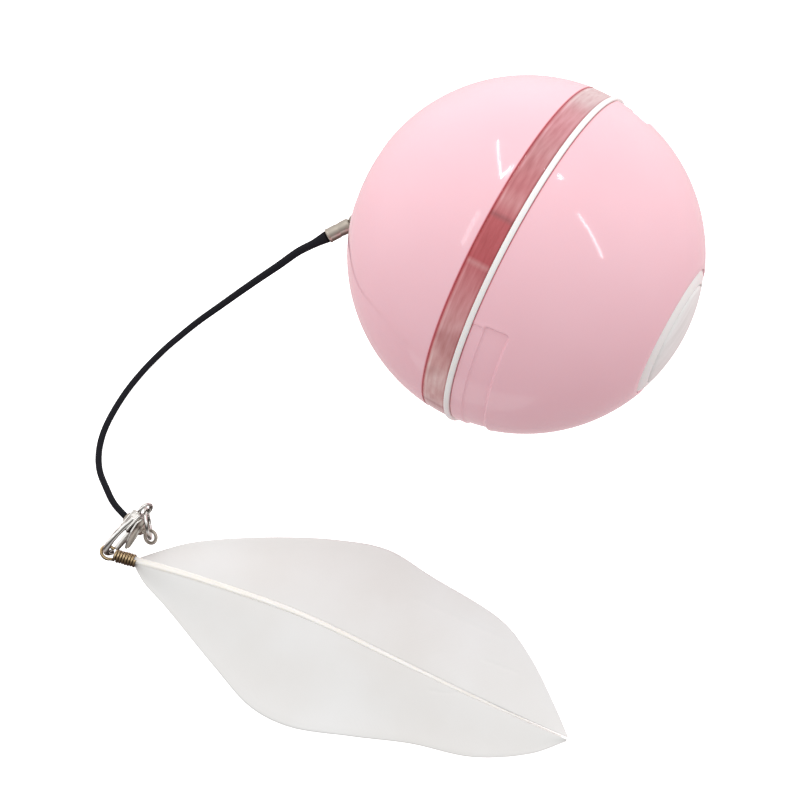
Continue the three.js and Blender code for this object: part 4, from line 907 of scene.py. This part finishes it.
def build_crimp(name, node, end, aim, loop_axis, girth=1.0, stretch=1.0):
    """A drawn end cap: a barrel with a rolled mouth and a lengthways seam, its neck and wire loop."""
    turn = basis(aim, loop_axis)
    profile = [(1.2, 0.9), (1.22, 0.12), (1.3, 0.0), (1.42, 0.0), (1.5, 0.1), (1.5, 0.34), (1.42, 0.46),
               (1.45, 0.7), (1.45, 2.2), (1.38, 2.5), (1.38, 2.8), (1.45, 3.1), (1.45, 4.6), (1.36, 4.95),
               (1.15, 5.14), (0.85, 5.2), (0.6, 5.3), (0.56, NECK_TOP)]
    bm = bmesh.new()
    rings = []
    for radius, height in profile:
        ring = []
        place = min(height * stretch, NECK_TOP)
        for a in angles_round(48):
            seam = 0.1 * exp(-((a - 4.4) / 0.09) ** 2) if 0.4 < height < 5.0 else 0.0
            r = (radius - seam) * girth
            ring.append(end + turn @ Vector((r * cos(a), r * sin(a), place)))
        rings.append(ring)
    capped(bm, rings)
    loop_turn = basis(turn.col[0], turn.col[2])
    tube(bm, circle(CRIMP_LOOP_R, 56, loop_turn, end + turn @ Vector((0, 0, REACH))), 0.4, 18, closed=True)
    return piece(name, bm, node, satin_painted_reflections)


CLASP_PLACE = Vector((-48.1, -84.0, 7.2))
CLASP_AIM = Vector((-0.225, -0.918, -0.327)).normalized()
up_part = UP - CLASP_AIM * CLASP_AIM.z
CLASP_THROUGH = Quaternion(CLASP_AIM, radians(103)) @ up_part.normalized()
CLASP_ACROSS = CLASP_THROUGH.cross(CLASP_AIM)
CLASP = Matrix((CLASP_AIM, CLASP_ACROSS, CLASP_THROUGH)).transposed()
LOWER_LOOP = LOWER_END + LOWER_AIM * REACH
JUMP_AIM = (CLASP_PLACE - LOWER_LOOP).normalized()
flat_part = CLASP_THROUGH - JUMP_AIM * CLASP_THROUGH.dot(JUMP_AIM)
JUMP_TANGENT = Quaternion(JUMP_AIM, radians(-35)) @ flat_part.normalized()

build_hitch()
build_crimp("upper_end_cap", "upper_crimp", UPPER_END, UPPER_AIM, EYE_AXIS, 1.15, 1.13)
lower_cap = build_crimp("lower_end_cap", "lower_crimp", LOWER_END, LOWER_AIM, JUMP_TANGENT)


# Jump ring and clasp

CLASP_LENGTH = 14.2
PIVOT = Vector((3.9, -0.9, 0))
# Corners of the sprung bar, as shares of the clasp's length.
LEVER = [(0.221, -0.014), (0.225, -0.1), (0.286, -0.17), (0.35, -0.19), (0.393, -0.164),
         (0.8, -0.157), (0.8, -0.093), (0.43, -0.064), (0.329, -0.007)]


def in_clasp(p):
    return CLASP_PLACE + CLASP @ Vector(p)


def plate(bm, outline, half, crown):
    """A cast plate from a closed outline: flat-ish faces with edges that roll over."""
    steps = 5
    points = [Vector(p) for p in outline]
    area = sum(p.x * q.y - q.x * p.y for p, q in zip(points[-1:] + points, points))
    inward = []
    for before, after in zip(points[-1:] + points, points[1:] + points[:1]):
        d = (after - before).normalized()
        inward.append(Vector((-d.y, d.x)) if area > 0 else Vector((d.y, -d.x)))
    rings = []
    for k in range(steps + 1):
        a = -pi / 2 + pi * k / steps
        inset = crown * (1 - cos(a))
        rings.append([in_clasp((p.x + n.x * inset, p.y + n.y * inset, half * sin(a)))
                      for p, n in zip(points, inward)])
    capped(bm, rings)


def dense(outline):
    """The same outline with extra points on its long sides."""
    out = []
    for p, q in zip(outline, outline[1:] + outline[:1]):
        parts = max(1, int(dist(p, q) / 0.8))
        out += [(p[0] + (q[0] - p[0]) * k / parts, p[1] + (q[1] - p[1]) * k / parts) for k in range(parts)]
    return out


def build_clasp():
    bm = bmesh.new()
    # The hook: one round bar that leaves the body, arches over and turns back to its nose.
    spine = [(3.0, 1.35), (5.0, 1.75), (6.6, 2.05), (8.2, 2.2), (9.8, 2.12), (11.3, 1.75), (12.4, 1.1),
             (12.85, 0.2), (12.75, -0.65), (12.2, -1.45)]
    hook = [in_clasp(p) for p in smooth_path([(x, y, 0) for x, y in spine], 6)]

    def bar(share):
        body = 0.74 - 0.12 * ease((share - 0.55) / 0.45)
        return body * (1.0 + 0.12 * exp(-((share - 0.02) / 0.12) ** 2))

    tube(bm, hook, bar, 22, section=lambda a: (cos(a), 1.02 * sin(a)), first_side=CLASP_THROUGH)
    # The two cheeks that hold the lever, joined behind it and over it.
    cheek = rounded([(1.3, 1.9), (6.0, 2.0), (6.3, 1.2), (6.1, -1.2), (5.0, -2.0), (3.0, -2.0), (1.5, -1.4)],
                    [0.5, 0.6, 0.5, 0.8, 0.9, 0.9, 0.5], 5)
    centre = Vector((3.8, 0.0))
    for side in (-1, 1):
        rings = []
        for height, inset in ((0.76, 0.22), (0.8, 0.08), (0.9, 0.0), (1.1, 0.0), (1.24, 0.1), (1.3, 0.3)):
            ring = []
            for p in cheek:
                d = Vector(p) - centre
                q = centre + d * (1 - inset / max(d.length, 0.5))
                ring.append(in_clasp((q.x, q.y, side * height)))
            rings.append(ring)
        capped(bm, rings)
    outline = rounded([(1.2, 1.85), (5.9, 1.95), (5.9, 1.05), (2.7, 0.95), (2.5, -1.5), (1.5, -1.35)],
                      [0.4, 0.3, 0.2, 0.3, 0.3, 0.4], 4)
    plate(bm, outline, 0.95, 0.1)
    # The tail ring.
    tail = circle(1.58, 48, CLASP, CLASP_PLACE)
    tube(bm, tail, 0.42, 18, closed=True, section=lambda a: (cos(a), 1.1 * sin(a)))
    return piece("lobster_clasp_body", bm, "clasp_body")


def build_lever():
    bm = bmesh.new()
    bar = rounded([(x * CLASP_LENGTH, y * CLASP_LENGTH) for x, y in LEVER],
                  [0.3, 0.6, 0.6, 0.4, 0.3, 0.25, 0.3, 0.6, 0.5], 4)
    plate(bm, dense(bar), 0.58, 0.16)
    # The thumb blade: a flat pointed plate on the near side that leans out from the pivot.
    blade = [(1.7, 0.9), (3.0, 1.6), (5.4, 1.6), (7.6, 1.0), (9.4, -0.3), (8.7, -1.05), (6.2, -1.2),
             (3.6, -1.0), (2.1, -0.4)]
    outline = rounded(blade, [0.4, 0.8, 0.9, 0.8, 0.25, 0.6, 0.9, 0.8, 0.5], 4)
    centre = Vector((5.4, 0.2))
    rings = []
    for height, inset in ((-0.24, 0.9), (-0.28, 0.96), (-0.14, 1.0), (0.14, 1.0), (0.28, 0.96), (0.24, 0.9)):
        ring = []
        for p in outline:
            q = centre + (Vector(p) - centre) * inset
            ring.append(in_clasp((q.x, q.y, height - 1.55 - 1.1 * ease((p[0] - 2.4) / 6.5))))
        rings.append(ring)
    capped(bm, rings)
    return piece("lobster_clasp_lever", bm, "clasp_lever", silver_blade_painted_reflections)


def build_pin():
    bm = bmesh.new()
    line = [(0.3, -1.4), (0.5, -1.34), (0.52, -1.28), (0.4, -1.24), (0.4, 1.24), (0.52, 1.28), (0.5, 1.34),
            (0.3, 1.4)]
    rings = [[in_clasp((PIVOT.x + r * cos(a), PIVOT.y + r * sin(a), h)) for a in angles_round(28)]
             for r, h in line]
    pointed(bm, rings, in_clasp((PIVOT.x, PIVOT.y, -1.42)), in_clasp((PIVOT.x, PIVOT.y, 1.42)))
    return piece("lobster_clasp_rivet", bm, "clasp_pin")


def build_jump_ring():
    bm = bmesh.new()
    radius = (CLASP_PLACE - LOWER_LOOP).length / 2 - 0.1
    middle = (CLASP_PLACE + LOWER_LOOP) / 2
    turn = basis(JUMP_AIM.cross(JUMP_TANGENT), JUMP_AIM)
    tube(bm, circle(radius, 90, turn, middle, radians(92), radians(356)), 0.4, 20)
    return piece("open_jump_ring", bm, "clasp_ring")


clasp_body = build_clasp()
lever = build_lever()
rivet = build_pin()
jump_ring = build_jump_ring()


# Brass wire

BASE_HEIGHT = 1.75
WIND_START = Vector((-49.6, -95.25, BASE_HEIGHT))
WIND_ALONG = Vector((0.966, 0.259, 0)).normalized()
WIND_SIDE = UP.cross(WIND_ALONG)


def on_winding(up, side, along):
    return WIND_START + UP * up + WIND_SIDE * side + WIND_ALONG * along


def build_wire():
    """An eye of wire that runs on into a close winding round the quill."""
    radius = 1.18
    eye = 1.45
    open_angle = asin(min(1.0, radius / eye))
    middle = -0.55 - eye * cos(open_angle)
    points = []
    for i in range(37):
        a = open_angle + (tau - 2 * open_angle) * i / 36
        along = middle + eye * cos(a)
        points.append(on_winding(-along * 0.58, eye * sin(a), along))
    turns, pitch, per = 7.25, 0.66, 26
    for i in range(1, int(turns * per) + 1):
        a = tau * i / per
        r = radius + 0.04 * sin(1.7 * i / per + 0.6)
        along = 0.25 + pitch * i / per
        points.append(on_winding(r * sin(a), -r * cos(a), along))
    bm = bmesh.new()
    tube(bm, points, lambda t: 0.38 - 0.05 * ease((t - 0.12) / 0.08), 14)
    return piece("brass_wire_winding", bm, "feather_wire")


wire = build_wire()


# Feather

F_BASE = Vector((-44.55, -93.9))
F_ANGLE = radians(8.2)
F_LENGTH = 103.6
F_ALONG = Vector((cos(F_ANGLE), sin(F_ANGLE), 0))
F_SIDE = Vector((-F_ALONG.y, F_ALONG.x, 0))
# Shares of the feather's length: how far along it, and how far out from its straight line.
UPPER_EDGE = [(-0.006, 0.008), (0, 0.014), (0.03, 0.042), (0.09, 0.09), (0.23, 0.162), (0.38, 0.218),
              (0.49, 0.24), (0.6, 0.221), (0.78, 0.186), (0.86, 0.138), (0.95, 0.056), (1, 0.004)]
LOWER_EDGE = [(-0.006, 0.004), (0, 0.01), (0.03, 0.033), (0.1, 0.066), (0.25, 0.144), (0.36, 0.195),
              (0.45, 0.202), (0.58, 0.17), (0.7, 0.136), (0.83, 0.112), (0.94, 0.058), (1, 0.004)]
QUILL = [(0, 0.002), (0.15, 0.015), (0.38, 0.026), (0.6, 0.015), (0.75, 0.007), (0.9, 0.002), (1, 0)]


def curve_at(table):
    """A smooth height for any share along a table of points."""
    dense_points = smooth_path([(x, y, 0) for x, y in table], 16)

    def at(x):
        x = min(max(x, dense_points[0].x), dense_points[-1].x)
        for a, b in zip(dense_points, dense_points[1:]):
            if a.x <= x <= b.x:
                t = (x - a.x) / max(b.x - a.x, 1e-9)
                return a.y + (b.y - a.y) * t
        return dense_points[-1].y
    return at


upper_at = curve_at(UPPER_EDGE)
lower_at = curve_at(LOWER_EDGE)
quill_at = curve_at(QUILL)


def quill_height(u):
    return BASE_HEIGHT + (0.9 - BASE_HEIGHT) * u + 2.4 * sin(pi * u) * (1 - u)


def quill_radius(u):
    return 0.85 + (0.3 - 0.85) * min(1.0, u / 0.93)


def on_feather(u, side, height):
    p = F_ALONG * (u * F_LENGTH) + F_SIDE * side
    return Vector((F_BASE.x + p.x, F_BASE.y + p.y, height))


def build_quill():
    base = on_feather(0, 0, BASE_HEIGHT)
    points = [base - WIND_ALONG * 4.8, base - WIND_ALONG * 2.4]
    count = 70
    for i in range(count + 1):
        u = 0.985 * i / count
        height = quill_height(u) * (1 - 0.12 * ease((u - 0.9) / 0.1))
        points.append(on_feather(u, quill_at(u) * F_LENGTH, height))
    total = len(points) - 1

    def radius(share):
        u = max(0.0, (share * total - 2) / count) * 0.985
        return max(0.12, quill_radius(u) * (1 - 0.6 * ease((u - 0.75) / 0.25)))

    def section(a):
        """Rounded square with a shallow groove below."""
        groove = 0.16 * exp(-((a - 1.5 * pi) / 0.35) ** 2)
        reach = 1 - 0.04 * cos(4 * a)
        return cos(a) * reach, sin(a) * reach + groove

    bm = bmesh.new()
    tube(bm, points, radius, 28, section=section, first_side=F_SIDE * -1)
    piece("feather_quill_shaft", bm, "feather_quill")


VANE_START = -0.004
VANE_END = 0.9985
VANE_HALF = 0.17
RIM_HEIGHT = 0.45
SPLITS = {1: [(0.583, 0.159, 0.804, 0.148), (0.774, 0.088, 0.856, 0.092)],
          -1: [(0.696, -0.019, 0.729, -0.01), (0.729, -0.01, 0.836, 0.045)]}


def split_depth(u, v, lines):
    """How much the vane dips where its barbs have parted, at shares u and v of the length."""
    dip = 0.0
    for u0, v0, u1, v1 in lines:
        across = Vector((u1 - u0, v1 - v0))
        rel = Vector((u - u0, v - v0))
        t = min(1.0, max(0.0, rel.dot(across) / across.length_squared))
        gap = (rel - across * t).length * F_LENGTH
        dip = max(dip, exp(-(gap / 0.28) ** 2) * sin(pi * min(1.0, 0.12 + 0.88 * t)) ** 0.5)
    return dip


def build_vane(name, node, side, edge_at):
    """One vane: a thin curved sheet of barbs from the quill down to its rim near the floor."""
    bm = bmesh.new()
    uv = bm.loops.layers.uv.verify()
    rows, across = 300, 40
    grid = []
    for i in range(rows + 1):
        u = VANE_START + (VANE_END - VANE_START) * (1 - (1 - i / rows) ** 1.15)
        r = quill_radius(u)
        root = quill_at(u) * F_LENGTH + side * (r + 0.05) * 0.7
        rim = side * max(edge_at(u) * F_LENGTH, abs(root) + 0.25)
        line = []
        for k in range(across + 1):
            t = k / across
            s = root + (rim - root) * t
            ridge = quill_height(u) + 0.1
            h = ridge + (RIM_HEIGHT - ridge) * ease(t) ** 0.9
            wave = 0.1 * sin(5.2 * u * pi + 1.1 * side) * t * t
            line.append((u, s, h + wave * min(1.0, h), t))
        grid.append(line)

    def skin(way):
        made = []
        for line in grid:
            row = []
            for u, s, h, t in line:
                thick = VANE_HALF * (1 - 0.75 * ease((t - 0.93) / 0.07))
                dip = split_depth(u, s / F_LENGTH, SPLITS[side]) if way > 0 else 0.0
                row.append(bm.verts.new(on_feather(u, s, h + way * thick - 0.12 * dip) * MM))
            made.append(row)
        return made

    top, under = skin(1), skin(-1)

    def face(corners, places):
        made = bm.faces.new(corners)
        for loop, (i, k) in zip(made.loops, places):
            u, s, _, t = grid[i][k]
            loop[uv].uv = ((u * F_LENGTH - abs(s) * 1.15) / 20, abs(s) / 20)

    def edge(ends):
        back = ends[::-1]
        face([top[a][c] for a, c in ends] + [under[a][c] for a, c in back], ends + back)

    for i in range(rows):
        for k in range(across):
            corners = [(i, k), (i + 1, k), (i + 1, k + 1), (i, k + 1)]
            face([top[a][c] for a, c in corners], corners)
            face([under[a][c] for a, c in corners[::-1]], corners[::-1])
        for k in (0, across):
            edge([(i, k), (i + 1, k)])
    for i in (0, rows):
        for k in range(across):
            edge([(i, k), (i, k + 1)])
    piece(name, bm, node)


build_quill()
build_vane("feather_barbs_back", "feather_vane_back", 1, upper_at)
build_vane("feather_barbs_front", "feather_vane_front", -1, lower_at)


# Catnip cup

def build_cup():
    start, end = (corner.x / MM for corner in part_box("catnip_cup"))
    floor = start + 5
    loop = [(0.0, floor), (3.7, floor), (3.6, floor - 0.1), (3.6, start), (5.1, start), (5.2, start + 0.1),
            (5.2, floor - 0.4), (5.6, floor), (11.3, floor), (11.85, floor + 0.2), (12.0, floor + 0.7),
            (12.0, end - 1.3), (12.1, end - 1.2), (12.7, end - 1.2), (12.79, end - 1.1), (12.79, end - 0.1),
            (12.7, end), (11.0, end), (10.9, end - 0.1), (10.9, floor + 2.0), (10.7, floor + 1.6),
            (10.3, floor + 1.5), (0.0, floor + 1.5)]
    bm = bmesh.new()
    solid_turned(bm, loop, 120)
    piece("white_catnip_cup", bm, "catnip_cup")


build_cup()


# Carried-over pieces

for name, node in nodes.items():
    if node.hide_render:
        continue
    for place in node.material_slots:
        place.material = material[slot_of[name]]


# Floor and light

def build_floor():
    """A plain white paper sweep that only the camera sees."""
    n = surface("pale_floor")
    cloud = n.noise(6, 2)
    n.colour(n.ramp(cloud, (0.3, (0.93, 0.93, 0.93, 1)), (0.7, (0.95, 0.95, 0.95, 1))))
    n.rough(cloud, 0.85, 0.95)
    n.set(Specular_IOR_Level=0.1, Emission_Color=(1, 1, 1, 1), Emission_Strength=1.0)
    bm = bmesh.new()
    bmesh.ops.create_grid(bm, x_segments=2, y_segments=2, size=3)
    floor = new_object("pale_floor", bm)
    floor.location.z = -0.00005
    floor.data.materials.append(n.owner)
    floor.visible_diffuse = False
    floor.visible_glossy = False


def glint(name, start, end, width, radiance, reach=0.9):
    """A narrow light whose mirror image on the ball runs between two places, seen only in reflections."""
    centre = Vector((0, 0, CENTRE * MM))
    ends = []
    for spot in (start, end):
        normal = Vector(spot).normalized()
        point = centre + normal * BALL * MM
        way = (point - camera.location).normalized()
        ends.append(point + (way - normal * 2 * way.dot(normal)) * reach)
    middle = (ends[0] + ends[1]) / 2
    length = (ends[1] - ends[0]).length
    light = bpy.data.lights.new(name, "AREA")
    light.shape = "RECTANGLE"
    light.size, light.size_y = width, length
    light.energy = radiance * pi * width * length
    obj = bpy.data.objects.new(name, light)
    bpy.context.scene.collection.objects.link(obj)
    back = (middle - centre).normalized()
    up = (ends[1] - ends[0]).normalized()
    side = up.cross(back).normalized()
    turn = Matrix((side, back.cross(side), back)).transposed()
    obj.matrix_world = Matrix.Translation(middle) @ turn.to_4x4()
    obj.visible_diffuse = False


def studio_world():
    """Soft light, strongest from the back left, that turns dim and pink from beneath."""
    world = bpy.data.worlds.new("studio")
    bpy.context.scene.world = world
    n = Nodes(world, "Background", "OutputWorld")
    toward = n.dot("Generated", (-0.46, 0.86, 0.21))
    fade = n.share(toward, "Value", -1, 1)
    n.set(fade, To_Min=0.5, To_Max=1.56)
    n.link(fade, "Result", n.shader, "Strength")
    height = n.linked(n.place, "Generated", "Vector", "SeparateXYZ")
    below = n.share(height, "Z", -0.75, 0.15)
    below.interpolation_type = "SMOOTHSTEP"
    tint = n.ramp(below, (0.0, (0.76, 0.6, 0.61, 1)), (1.0, (1, 1, 1, 1)), out="Result")
    n.link(tint, "Color", n.shader, "Color")


build_floor()
studio_world()
glint("streak_glint", (0.31, -0.12, 0.94), (0.52, -0.22, 0.83), 0.016, 18)
glint("wedge_glint_long", (-0.25, 0.03, 0.97), (-0.12, -0.16, 0.98), 0.009, 30)
glint("wedge_glint_short", (-0.12, -0.16, 0.98), (-0.1, -0.07, 0.99), 0.007, 70)
glint("spot_glint", (0.125, 0.0, 0.99), (0.15, -0.01, 0.99), 0.028, 30)
glint("faint_glint", (-0.13, -0.36, 0.93), (-0.13, -0.53, 0.84), 0.05, 3)
bpy.context.scene.view_settings.view_transform = "Standard"
